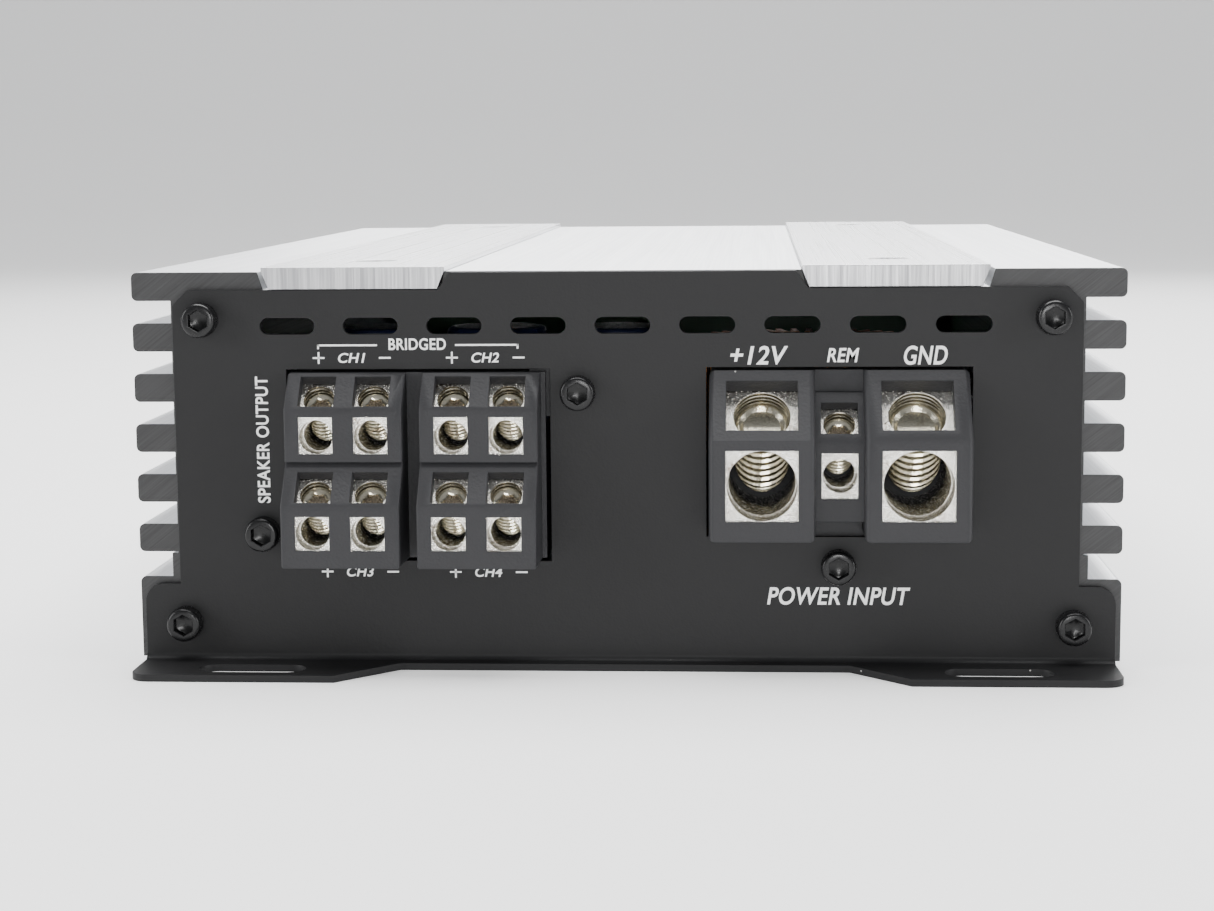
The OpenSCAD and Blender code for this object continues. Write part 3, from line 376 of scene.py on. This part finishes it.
def solidCopy(node):                             # a CAD node's shape with whole faces in place of loose triangles
    bm = bmesh.new()
    bm.from_mesh(frame["nodes"][node].data)
    bmesh.ops.remove_doubles(bm, verts=bm.verts[:], dist=2e-7)
    bmesh.ops.dissolve_limit(bm, angle_limit=math.radians(0.4), verts=bm.verts[:], edges=bm.edges[:],
        use_dissolve_boundaries=False)
    return bm


def bevelEdges(bm, edges, width, segments=2, clamp=True):
    bmesh.ops.bevel(bm, geom=edges, offset=width, offset_type="OFFSET", affect="EDGES", segments=segments,
        profile=0.5, material=-1, clamp_overlap=clamp)


def cornerEdges(bm, least=30, where=None):       # edges that turn by more than the least angle
    return [e for e in bm.edges if e.is_manifold and e.calc_face_angle(0) > math.radians(least)
            and (where is None or where(e.verts[0].co, e.verts[1].co))]


def roundedCopy(name, node, width, mats, segments=2, least=30, sharp=35):
    bm = solidCopy(node)
    bevelEdges(bm, cornerEdges(bm, least), width, segments)
    return finishPiece(name, bm, mats, nodeBody[node], [node], sharp)


def ringRadius(r, kind, i, segments):
    if kind == "hex":                            # r is half the distance across the flats
        a = 2 * math.pi * i / segments
        return r / math.cos((a + math.pi / 6) % (math.pi / 3) - math.pi / 6)
    if kind == "knurl" and i % 2:
        return r * 0.965
    return r


def turned(bm, segments, profile, place):        # rings from start to end, each (height, radius, kind)
    ring = bmesh.ops.create_circle(bm, cap_ends=False, radius=1, segments=segments)["verts"]
    made = list(ring)
    edges = list({e for v in ring for e in v.link_edges})
    for k, (z, r, kind) in enumerate(profile):
        if k:
            out = bmesh.ops.extrude_edge_only(bm, edges=edges)["geom"]
            ring = [g for g in out if isinstance(g, bmesh.types.BMVert)]
            edges = [g for g in out if isinstance(g, bmesh.types.BMEdge)]
            made += ring
        for v in ring:
            a = math.atan2(v.co.y, v.co.x)
            i = round(a * segments / (2 * math.pi)) % segments
            reach = max(ringRadius(r, kind, i, segments), 1e-7)
            v.co = (reach * math.cos(a), reach * math.sin(a), z)
        if k == 0:
            bmesh.ops.edgeloop_fill(bm, edges=edges)
    if profile[-1][1] > 0:
        bmesh.ops.edgeloop_fill(bm, edges=edges)
    else:
        bmesh.ops.pointmerge(bm, verts=ring, merge_co=ring[0].co)
        made = [v for v in made if v.is_valid]
    bmesh.ops.transform(bm, matrix=place, verts=made)


def threadedRod(bm, radius, pitch, low, high, taper, place, steps=24):
    part = bmesh.new()
    root = radius - 0.34 * pitch
    turns = math.ceil((high - low) / pitch) + 2
    pts = [part.verts.new((r, 0, low - pitch + h)) for r, h in
           ((root, 0), (root, 0.1 * pitch), (radius, 0.3 * pitch), (radius, 0.8 * pitch), (root, pitch))]
    lines = [part.edges.new(p) for p in zip(pts, pts[1:])]
    bmesh.ops.spin(part, geom=pts + lines, cent=(0, 0, 0), axis=(0, 0, 1), dvec=(0, 0, pitch / steps),
        angle=2 * math.pi * turns, steps=steps * turns, use_merge=False, use_duplicate=False)
    bmesh.ops.remove_doubles(part, verts=part.verts[:], dist=1e-6)
    for z, side in ((low, -1), (high, 1)):
        bmesh.ops.bisect_plane(part, geom=part.verts[:] + part.edges[:] + part.faces[:], plane_co=(0, 0, z),
            plane_no=(0, 0, side), clear_outer=True)
    bmesh.ops.holes_fill(part, edges=[e for e in part.edges if e.is_boundary], sides=0)
    for v in part.verts:                         # the thread runs on down the tapered point
        t = max(0, 1 - (v.co.z - low) / taper) ** 1.6
        v.co.x *= 1 - 0.38 * t
        v.co.y *= 1 - 0.38 * t
    bmesh.ops.transform(part, matrix=place, verts=part.verts[:])
    joinInto(bm, part)


def joinInto(bm, part):
    mesh = bpy.data.meshes.new("join")
    part.to_mesh(mesh)
    part.free()
    bm.from_mesh(mesh)
    bpy.data.meshes.remove(mesh)


def facing(x, y, z, sign):                       # local +Z points out of the panel whose side is given
    return Matrix.Translation((x, y, z)) @ Matrix.Rotation(math.pi / 2 * (1 if sign < 0 else -1), 4, "X")


nodeBody = {n: b for b, group in frame["record"]["behaviour"]["bodies"].items() for n in group}


# ---------- case ----------

caseSet = {
    "finEdge": 0.25 * mm, "barEdge": 0.18 * mm, "sheetEdge": 0.14 * mm,
    "bendInner": 1.0 * mm, "bendOuter": 1.15 * mm,
}


def makeHeatsink(s):
    bm = solidCopy("heatsink")
    bevelEdges(bm, cornerEdges(bm, 40), s["finEdge"], 2)
    finishPiece("finnedBody", bm, satinAnodised, "chassis", ["heatsink"], 30)


def makePanel(name, node, sign, s):
    bm = solidCopy(node)
    back = sign * (abs(panelFront) - sheetThick)
    face = sign * abs(panelFront)
    outer = [e for e in bm.edges if all(abs(v.co.y - back) < 1e-5 and abs(v.co.z) < 1e-5 for v in e.verts)]
    inner = [e for e in bm.edges if all(abs(v.co.y - face) < 1e-5 and abs(v.co.z - sheetThick) < 1e-5 for v in e.verts)]
    bevelEdges(bm, outer, s["bendOuter"], 4)
    bevelEdges(bm, inner, s["bendInner"], 4)
    bevelEdges(bm, cornerEdges(bm, 50), s["sheetEdge"], 2)
    finishPiece(name, bm, powderCoat, "chassis", [node], 30)


makeHeatsink(caseSet)
makePanel("terminalPanel", "front_panel", -1, caseSet)
makePanel("inputPanel", "rear_panel", 1, caseSet)
roundedCopy("bottomPlate", "bottom_cover", 0.12 * mm, powderCoat)
for side in ("left", "right"):
    bar = roundedCopy(side + "Bar", "trim_bar_" + side, caseSet["barEdge"], [brightBar, shadedSawnBar],
        2, 40, 30)
    for face in bar.data.polygons:               # sawn ends get a rougher, darker copy of the bar metal: the sawn grain and roughness are real, the darker colour is painted shade
        face.material_index = 1 if abs(face.normal.y) > 0.9 else 0
print("case made")


# ---------- terminal blocks ----------

blockSet = {
    "speakerEdge": 0.35 * mm, "powerEdge": 0.9 * mm, "windowEdge": 0.1 * mm, "rimWidth": 0.3 * mm,
    "faceEdge": 0.12 * mm, "smallThread": 2.5 * mm, "largeThread": 4.5 * mm, "threadGap": 0.05 * mm,
}


def makeHousing(name, node, outerEdge, s):
    bm = solidCopy(node)
    bm.normal_update()

    def onOutside(e):                            # edges round the outside of each stepped column
        a, b = (v.co for v in e.verts)
        sides = [f for f in e.link_faces if abs(f.normal.x) > 0.99 and f.calc_area() > 60 * mm * mm]
        return sides and min(a.y, b.y) < panelFront - 0.05 * mm and e.calc_length() > 4 * mm
    outer = [e for e in bm.edges if e.is_manifold and e.is_convex and onOutside(e) and e.calc_face_angle(0) > 0.3]
    bevelEdges(bm, outer, outerEdge, 4, False)
    bevelEdges(bm, cornerEdges(bm, 60), s["windowEdge"], 1)
    finishPiece(name, bm, mouldedPlastic, "chassis", [node], 40)


def makeClamp(name, node, screwNodes, thread, s): # bright rim round the bore, threaded hole for the screw
    screws = [(screwTop(screw, thread), thread + s["threadGap"]) for screw in screwNodes]
    bm = solidCopy(node)
    bm.normal_update()
    fronts = [f for f in bm.faces if f.normal.y < -0.99]
    slopes = [f for f in bm.faces if (f.normal + screwAxis).length < 0.05]
    rims, straight = [], []
    for e in {e for f in fronts + slopes for e in f.edges}:
        if e.is_manifold and e.calc_face_angle(0) > 0.5:
            (straight if e.calc_length() > 1.2 * mm else rims).append(e)
    bevelEdges(bm, rims, s["rimWidth"], 2)
    bevelEdges(bm, [e for e in straight if e.is_valid], s["faceEdge"], 1)
    bm.normal_update()
    for f in bm.faces:                           # walls of the tapped holes, which get the thread rings with painted shade in the roots
        c = f.calc_center_median()
        for top, r in screws:
            gap = c - top
            if abs(f.normal.dot(screwAxis)) < 0.1 and abs((gap - screwAxis * gap.dot(screwAxis)).length - r) < 0.25 * mm:
                f.material_index = 1
    finishPiece(name, bm, [clampNickel, threadShadeNickel], "chassis", [node], 40)


def screwTop(node, r):                           # middle of a set screw's top face, from its CAD box
    low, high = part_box(node)
    tilt = math.atan2(-screwAxis.z, screwAxis.y)
    return Vector(((low.x + high.x) / 2, low.y + r * math.sin(tilt), high.z - r * math.cos(tilt)))


makeHousing("speakerBlock", "speaker_housing", blockSet["speakerEdge"], blockSet)
makeHousing("powerBlock", "power_housing", blockSet["powerEdge"], blockSet)
speakerScrews = ["speaker_set_screw_%d" % i for i in range(1, 9)]
small, large = blockSet["smallThread"], blockSet["largeThread"]
makeClamp("speakerClamps", "speaker_clamps", speakerScrews, small, blockSet)
makeClamp("powerClampPositive", "power_clamp_positive", ["power_set_screw_positive"], large, blockSet)
makeClamp("powerClampGround", "power_clamp_ground", ["power_set_screw_ground"], large, blockSet)
makeClamp("remoteClamp", "remote_clamp", ["remote_set_screw"], small, blockSet)


# ---------- screws ----------

capScrewSet = {"headRadius": 2.8, "headHeight": 3.0, "keyAcross": 3.05, "keyDepth": 1.9, "shankRadius": 1.5}


def capScrewInto(bm, place, length, s):
    r, h, af = s["headRadius"] * mm, s["headHeight"] * mm, s["keyAcross"] * mm / 2
    deep = h - s["keyDepth"] * mm
    turned(bm, 96, [(0, r * 0.94, "round"), (0.12 * mm, r * 0.975, "round"),
        (0.3 * mm, r, "knurl"), (h - 0.75 * mm, r, "knurl"),
        (h - 0.62 * mm, r * 0.985, "round"), (h - 0.42 * mm, r * 0.975, "round"), (h - 0.2 * mm, r * 0.94, "round"),
        (h - 0.06 * mm, r * 0.88, "round"), (h, r * 0.82, "round"), (h, af + 0.1 * mm, "hex"), (h - 0.1 * mm, af, "hex"),
        (deep, af, "hex"), (deep - 0.05 * mm, af * 0.9, "round"), (deep - 0.6 * mm, 0, "round")], place)
    turned(bm, 24, [(-length, 1.1 * mm, "round"), (-length + 0.4 * mm, s["shankRadius"] * mm, "round"),
        (0.05 * mm, s["shankRadius"] * mm, "round")], place)


def looseParts(node):                            # boxes of a CAD node's separate solids
    bm = solidCopy(node)
    left, boxes = set(bm.verts), []
    while left:
        grow, part = [next(iter(left))], set()
        while grow:
            v = grow.pop()
            if v in part:
                continue
            part.add(v)
            grow += [e.other_vert(v) for e in v.link_edges]
        left -= part
        co = [v.co for v in part]
        boxes.append([Vector([side(c[i] for c in co) for i in range(3)]) for side in (min, max)])
    bm.free()
    return sorted(boxes, key=lambda b: (round(b[0].z, 4), round(b[0].x, 4)))


def makeCapScrews(name, node, sign, face, s):
    bm = bmesh.new()
    for low, high in looseParts(node):
        c = (low + high) / 2
        length = (high.y - low.y) - s["headHeight"] * mm
        capScrewInto(bm, facing(c.x, face, c.z, sign), length, s)
    finishPiece(name, bm, blackOxide, "chassis", [node], 28)


makeCapScrews("terminalPanelScrews", "front_panel_screws", -1, panelFront, capScrewSet)
makeCapScrews("inputPanelScrews", "rear_panel_screws", 1, panelRear, capScrewSet)
makeCapScrews("speakerBlockScrews", "speaker_block_screws", -1, panelFront, capScrewSet)
makeCapScrews("powerBlockScrew", "power_block_screw", -1, panelFront, capScrewSet)


def makeCountersunk(name, node, up, topRadius, shank, depth, keyAcross, mat):
    bm = bmesh.new()
    for low, high in looseParts(node):
        c = (low + high) / 2
        length = high.z - low.z
        place = Matrix.Translation((c.x, c.y, high.z if up else low.z))
        if not up:
            place = place @ Matrix.Rotation(math.pi, 4, "X")
        af = keyAcross / 2
        turned(bm, 48, [(-length, shank * 0.8, "round"), (-length + 0.3 * mm, shank, "round"), (-depth, shank, "round"),
            (-0.12 * mm, topRadius, "round"), (0, topRadius - 0.08 * mm, "round"), (0, af * 1.2, "round"),
            (-0.15 * mm, af, "hex"), (-1.4 * mm, af, "hex"), (-1.6 * mm, 0, "round")], place)
    finishPiece(name, bm, mat, "chassis", [node], 28)


makeCountersunk("barScrews", "trim_bar_screws", True, 3.75 * mm, 2 * mm, 1.85 * mm, 2.5 * mm,
    darkSteel)
makeCountersunk("coverScrews", "bottom_cover_screws", False, 2.8 * mm, 1.5 * mm, 1.1 * mm, 2 * mm,
    blackOxide)

setScrewSet = {
    "small": {"radius": 2.5, "length": 8.2, "taper": 2.6, "key": 2.5, "pitch": 1.0},
    "remote": {"radius": 2.5, "length": 10.4, "taper": 2.6, "key": 2.5, "pitch": 1.0},
    "large": {"radius": 4.5, "length": 15.85, "taper": 5.0, "key": 5.0, "pitch": 1.8},
}


def makeSetScrew(node, s):                       # hexagon key at the top, helical thread, tapered point
    r, n, af, t = s["radius"] * mm, s["length"] * mm, s["key"] * mm / 2, s["taper"] * mm
    tilt = math.atan2(-screwAxis.z, screwAxis.y)
    place = Matrix.Translation(screwTop(node, r)) @ Matrix.Rotation(math.pi / 2 - tilt, 4, "X")
    place = place @ Matrix.Rotation(math.pi / 6, 4, "Z")
    bm = bmesh.new()
    collar = 0.45 * mm
    turned(bm, 48, [(-collar * 2.2, r * 0.9, "round"), (-collar, r * 0.985, "round"), (-collar * 0.5, r * 0.97, "round"),
        (0, r * 0.88, "round"), (0, r * 0.82, "round"), (-0.09 * r, af * 1.2, "round"), (-0.16 * r, af, "hex"),
        (-0.42 * n, af, "hex"),
        (-0.42 * n - 0.15 * r, 0, "round")], place)
    threadedRod(bm, r, s["pitch"] * mm, -n + 0.03 * mm, -collar, t, place)
    toLocal = place.inverted()
    for f in bm.faces:                           # the key socket's walls get a darker nickel: painted shade in the recess
        c = toLocal @ f.calc_center_median()
        if -0.5 * n < c.z < -0.14 * r and math.hypot(c.x, c.y) < af * 1.05:
            f.material_index = 1
    name = "".join(w if i == 0 else w.capitalize() for i, w in enumerate(node.split("_")))
    finishPiece(name, bm, [screwNickel, socketShadeNickel], nodeBody[node], [node], 30)


for i in range(1, 9):
    makeSetScrew("speaker_set_screw_" + str(i), setScrewSet["small"])
makeSetScrew("power_set_screw_positive", setScrewSet["large"])
makeSetScrew("power_set_screw_ground", setScrewSet["large"])
makeSetScrew("remote_set_screw", setScrewSet["remote"])
print("screws made")


# ---------- printed legends ----------

legendSet = {"thick": 0.04 * mm, "line": 0.28 * mm, "lean": 0.2, "weight": 0.018, "rearLetter": 1.6,
    "tickRing": 5.7 * mm}


def letteringInto(bm, words, wide, high, place, lean=None, weight=None):
    curve = bpy.data.curves.new("lettering", "FONT")
    curve.body = words
    curve.size = 1
    curve.space_character = 1.06
    curve.shear = legendSet["lean"] if lean is None else lean
    curve.offset = legendSet["weight"] if weight is None else weight
    curve.extrude = 0.5
    obj = bpy.data.objects.new("lettering", curve)
    bpy.context.scene.collection.objects.link(obj)
    mesh = bpy.data.meshes.new_from_object(obj.evaluated_get(bpy.context.evaluated_depsgraph_get()))
    low = [min(v.co[i] for v in mesh.vertices) for i in range(3)]
    span = [max(v.co[i] for v in mesh.vertices) - low[i] for i in range(3)]
    grow = wide / span[0] if wide else high / span[1] * 0.8
    fit = Matrix.Diagonal((grow, high / span[1], legendSet["thick"] / span[2], 1))
    middle = Matrix.Translation([-(low[i] + span[i] / 2) for i in range(3)])
    mesh.transform(place @ fit @ middle)
    bm.from_mesh(mesh)
    bpy.data.objects.remove(obj)
    bpy.data.curves.remove(curve)
    bpy.data.meshes.remove(mesh)


def barInto(bm, w, h, place):                    # a thin printed stroke
    made = bmesh.ops.create_cube(bm, size=1)["verts"]
    bmesh.ops.scale(bm, vec=(w, h, legendSet["thick"]), verts=made)
    bmesh.ops.transform(bm, matrix=place, verts=made)


def printAt(x, z, sign=-1, turn=0.0):            # on the panel's face; text reads from outside
    y = (panelFront if sign < 0 else panelRear) + sign * legendSet["thick"] / 2
    around = Matrix.Rotation(0 if sign < 0 else math.pi, 4, "Z")
    upright = Matrix.Translation((x * mm, y, z * mm)) @ around @ Matrix.Rotation(math.pi / 2, 4, "X")
    return upright @ Matrix.Rotation(math.radians(turn), 4, "Z")


def makeFrontLegends(s):
    bm = bmesh.new()
    line = s["line"]
    for x, z, words in ((-43.85, 50.85, "CH1"), (-22.15, 50.85, "CH2"), (-43.2, 15.8, "CH3"), (-22.1, 15.8, "CH4")):
        letteringInto(bm, words, 4.45 * mm, 1.6 * mm, printAt(x, z))
        for dx in (-5.4, 5.4):
            barInto(bm, 1.9 * mm, line, printAt(x + dx, z))
        barInto(bm, line, 1.9 * mm, printAt(x - 5.4, z))
    for x0, x1 in ((-49.4, -39.7), (-27.0, -16.8)):
        barInto(bm, (x1 - x0) * mm, line, printAt((x0 + x1) / 2, 52.9))
    for x in (-49.3, -16.9):
        barInto(bm, line, 0.75 * mm, printAt(x, 52.66))
    letteringInto(bm, "BRIDGED", 9.3 * mm, 1.9 * mm, printAt(-33.15, 53.05), 0.0)
    letteringInto(bm, "SPEAKER OUTPUT", 20.7 * mm, 2.1 * mm, printAt(-58.75, 37.5, -1, 90), 0.0)
    letteringInto(bm, "+12V", 9.2 * mm, 3.0 * mm, printAt(21.85, 51.1))
    letteringInto(bm, "REM", 5.1 * mm, 2.25 * mm, printAt(35.2, 51.1))
    letteringInto(bm, "GND", 6.9 * mm, 3.05 * mm, printAt(48.3, 51.05))
    letteringInto(bm, "POWER INPUT", 23.0 * mm, 2.9 * mm, printAt(34.65, 12.05))
    finishPiece("terminalLegends", bm, legendPrint, "chassis", (), 30)


makeFrontLegends(legendSet)


def makeRearLegends(s):
    bm = bmesh.new()
    high = s["rearLetter"] * mm
    for z in (38, 22):
        for x, words in ((-12, "LEVEL"), (4, "HPF"), (20, "LPF"), (38, "FILTER")):
            letteringInto(bm, words, 0, high, printAt(x, z + 7.3, 1))
        for x in (-12, 4, 20):
            for k in range(11):
                a = math.radians(-150 + 30 * k)
                spot = Matrix.Translation((s["tickRing"] * math.sin(a), s["tickRing"] * math.cos(a), 0))
                spot = printAt(x, z, 1) @ spot @ Matrix.Rotation(-a, 4, "Z")
                barInto(bm, 0.2 * mm, 0.8 * mm, spot)
    for z, words in ((46.5, "INPUT 1 - 2"), (29.9, "INPUT 3 - 4")):
        letteringInto(bm, words, 0, high, printAt(-46, z, 1))
    letteringInto(bm, "ON", 0, high, printAt(55, 41.6, 1))
    letteringInto(bm, "PROT", 0, high, printAt(55, 25.6, 1))
    finishPiece("inputLegends", bm, legendPrint, "chassis", (), 30)


makeRearLegends(legendSet)
print("legends printed")


# ---------- input end ----------

knobSet = {"radius": 4.5, "out": 5.4, "slot": 1.0}


def makeKnob(node, s):
    low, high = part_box(node)
    x, z = (low.x + high.x) / 2, (low.z + high.z) / 2
    bm = bmesh.new()
    place = facing(x, panelRear, z, 1)
    r, h = s["radius"] * mm, s["out"] * mm
    turned(bm, 60, [(0.4 * mm, r * 0.96, "round"), (0.6 * mm, r, "round"), (1.3 * mm, r, "round"),
        (1.5 * mm, r * 0.98, "knurl"), (h - 0.6 * mm, r * 0.95, "knurl"), (h - 0.2 * mm, r * 0.90, "round"),
        (h, r * 0.84, "round"), (h, r * 0.62, "round"),
        (h - 0.4 * mm, r * 0.55, "round"), (h - 0.45 * mm, 0, "round")], place)
    turned(bm, 24, [(-7.0 * mm, 1.4 * mm, "round"), (-6.8 * mm, 1.5 * mm, "round"), (0.5 * mm, 1.5 * mm, "round")], place)
    name = "".join(w if i == 0 else w.capitalize() for i, w in enumerate(node.split("_")))
    knob = finishPiece(name, bm, [blackPlastic, legendPrint], nodeBody[node], [node], 30)
    return knob


def makePointer(node, s):                        # white line inlaid on the knob's face
    low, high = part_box(node)
    x, z = (low.x + high.x) / 2, (low.z + high.z) / 2
    bm = bmesh.new()
    made = bmesh.ops.create_cube(bm, size=1)["verts"]
    bmesh.ops.scale(bm, vec=(0.5 * mm, 0.12 * mm, 1.5 * mm), verts=made)
    bmesh.ops.translate(bm, vec=(x, panelRear + s["out"] * mm - 0.05 * mm, z + 3.0 * mm), verts=made)
    name = "pointer" + "".join(w.capitalize() for w in node.split("_"))
    finishPiece(name, bm, legendPrint, nodeBody[node], (), 30)


for row in ("1", "2"):
    for kind in ("level", "high_pass", "low_pass"):
        makeKnob(kind + "_knob_" + row, knobSet)
        makePointer(kind + "_knob_" + row, knobSet)

roundedCopy("lineInputBlock", "rca_housing", 0.15 * mm, [blackPlastic], 2, 50)
roundedCopy("lineInputShells", "rca_shells", 0.12 * mm, zincPlate, 2, 50)
roundedCopy("lineInputContacts", "rca_contacts", 0.08 * mm, goldFlash, 1, 50)
roundedCopy("potBodies", "potentiometer_bodies", 0.2 * mm, bluePlastic, 1, 50)
roundedCopy("switchFrames", "switch_bodies", 0.2 * mm, zincPlate, 1, 50)
for row in ("1", "2"):
    roundedCopy("filterSlider" + row, "filter_switch_" + row, 0.25 * mm, blackPlastic, 2, 50)
roundedCopy("powerLens", "power_lamp", 0.5 * mm, greenLens, 4, 50)
roundedCopy("protectLens", "protect_lamp", 0.5 * mm, redLens, 4, 50)
print("input end made")


# ---------- inside ----------

def makeWinding(name, node, wire, turns):        # one turn of wire, repeated round the core
    low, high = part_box(node)
    c = (low + high) / 2
    outer = (high.x - low.x) / 2
    inner = {"transformer_winding": 8 * mm, "choke_winding": 5 * mm}[node]
    rad = wire / 2
    bm = bmesh.new()
    path = [(inner + rad, high.z - rad), (outer - rad, high.z - rad),
        (outer - rad, low.z + rad), (inner + rad, low.z + rad)]
    for k in range(turns):
        spot = Matrix.Translation((c.x, c.y, 0)) @ Matrix.Rotation(2 * math.pi * k / turns, 4, "Z")
        ring, first = None, None
        for j in range(5):
            x, z = path[j % 4]
            flare = math.radians(45 + 90 * ((1, 0, 3, 2)[j % 4]))
            if j < 4:
                verts = bmesh.ops.create_circle(bm, cap_ends=False, radius=rad, segments=6)["verts"]
                bmesh.ops.scale(bm, vec=(1.41, 1, 1), verts=verts)
                stand = Matrix.Translation((x, 0, z)) @ Matrix.Rotation(-flare, 4, "Y")
                bmesh.ops.transform(bm, matrix=spot @ stand, verts=verts)
                loop = list({e for v in verts for e in v.link_edges})
            else:
                loop = first
            if ring:
                bmesh.ops.bridge_loops(bm, edges=ring + loop)
            first = first or loop
            ring = loop
    finishPiece(name, bm, enamelWire, "chassis", [node], 60)


makeWinding("transformerTurns", "transformer_winding", 1.9 * mm, 46)
makeWinding("chokeTurns", "choke_winding", 1.6 * mm, 24)


def makeCapacitors(node):                        # sleeve, rolled rim and a scored aluminium top
    bm = bmesh.new()
    for low, high in looseParts(node):
        c = (low + high) / 2
        r, h = (high.x - low.x) / 2, high.z - low.z
        place = Matrix.Translation((c.x, c.y, low.z))
        start = len(bm.faces)
        turned(bm, 48, [(0, r * 0.94, "round"), (0.4 * mm, r, "round"), (1.6 * mm, r, "round"),
            (2.2 * mm, r * 0.93, "round"), (3.2 * mm, r * 0.93, "round"), (3.9 * mm, r, "round"),
            (h - 0.9 * mm, r, "round"), (h - 0.25 * mm, r * 0.96, "round"),
            (h, r * 0.90, "round"), (h, r * 0.84, "round")], place)
        turned(bm, 48, [(h - 2 * mm, r * 0.82, "round"), (h - 0.4 * mm, r * 0.82, "round"),
            (h - 0.3 * mm, r * 0.80, "round"), (h - 0.3 * mm, 0, "round")], place)
        bm.faces.ensure_lookup_table()
        for f in bm.faces[start:]:
            if f.calc_center_median().z > high.z - 2.1 * mm and (f.calc_center_median().xy - c.xy).length < r * 0.825:
                f.material_index = 1
        for turn in (0, math.pi / 2):
            groove = bmesh.ops.create_cube(bm, size=1)["verts"]
            bmesh.ops.scale(bm, vec=(r * 1.2, 0.35 * mm, 0.12 * mm), verts=groove)
            on = Matrix.Translation((c.x, c.y, high.z - 0.32 * mm)) @ Matrix.Rotation(turn, 4, "Z")
            bmesh.ops.transform(bm, matrix=on, verts=groove)
    finishPiece("storageCapacitors", bm, [sleeveFilm, bareAluminium], "chassis", [node], 30)


makeCapacitors("filter_capacitors")
for name, node, edge, mat, slotName in (
        ("mainBoard", "main_board", 0.1, solderMask, "green_board"),
        ("controlBoard", "control_board", 0.1, solderMask, "green_board"),
        ("transformerCore", "transformer_core", 0.8, ferriteGrey, "ferrite"),
        ("chokeCore", "choke_core", 0.6, ferriteGrey, "ferrite"),
        ("outputTransistors", "output_transistors", 0.2, epoxyBlack, "black_epoxy"),
        ("thermalPads", "thermal_pads", 0.05, padGrey, "grey_pad"),
        ("clampBars", "transistor_clamp_bars", 0.3, bareAluminium, "plain_aluminium"),
        ("clampScrews", "transistor_clamp_screws", 0.25, zincPlate, "zinc_plated_steel")):
    roundedCopy(name, node, edge * mm, mat, 1, 50)
print("inside made")


# ---------- floor ----------

def makeFloor():
    bm = bmesh.new()
    sweep = ((-4, 0), (1.4, 0), (1.75, 0.03), (2.05, 0.12), (2.3, 0.3), (2.45, 0.6), (2.5, 1), (2.5, 5))
    side = [bm.verts.new((-6, y, z)) for y, z in sweep]
    strip = [bm.edges.new(p) for p in zip(side, side[1:])]
    wide = bmesh.ops.extrude_edge_only(bm, edges=strip)["geom"]
    bmesh.ops.translate(bm, vec=(12, 0, 0), verts=[g for g in wide if isinstance(g, bmesh.types.BMVert)])
    bmesh.ops.recalc_face_normals(bm, faces=bm.faces[:])
    mesh = bpy.data.meshes.new("floor")
    bm.to_mesh(mesh)
    bm.free()
    mesh.polygons.foreach_set("use_smooth", [True] * len(mesh.polygons))
    mesh.materials.append(floorPaint)
    floor = bpy.data.objects.new("floor", mesh)
    bpy.context.scene.collection.objects.link(floor)


makeCamera(cameraSet)
makeStudio(lightSet)
makeFloor()
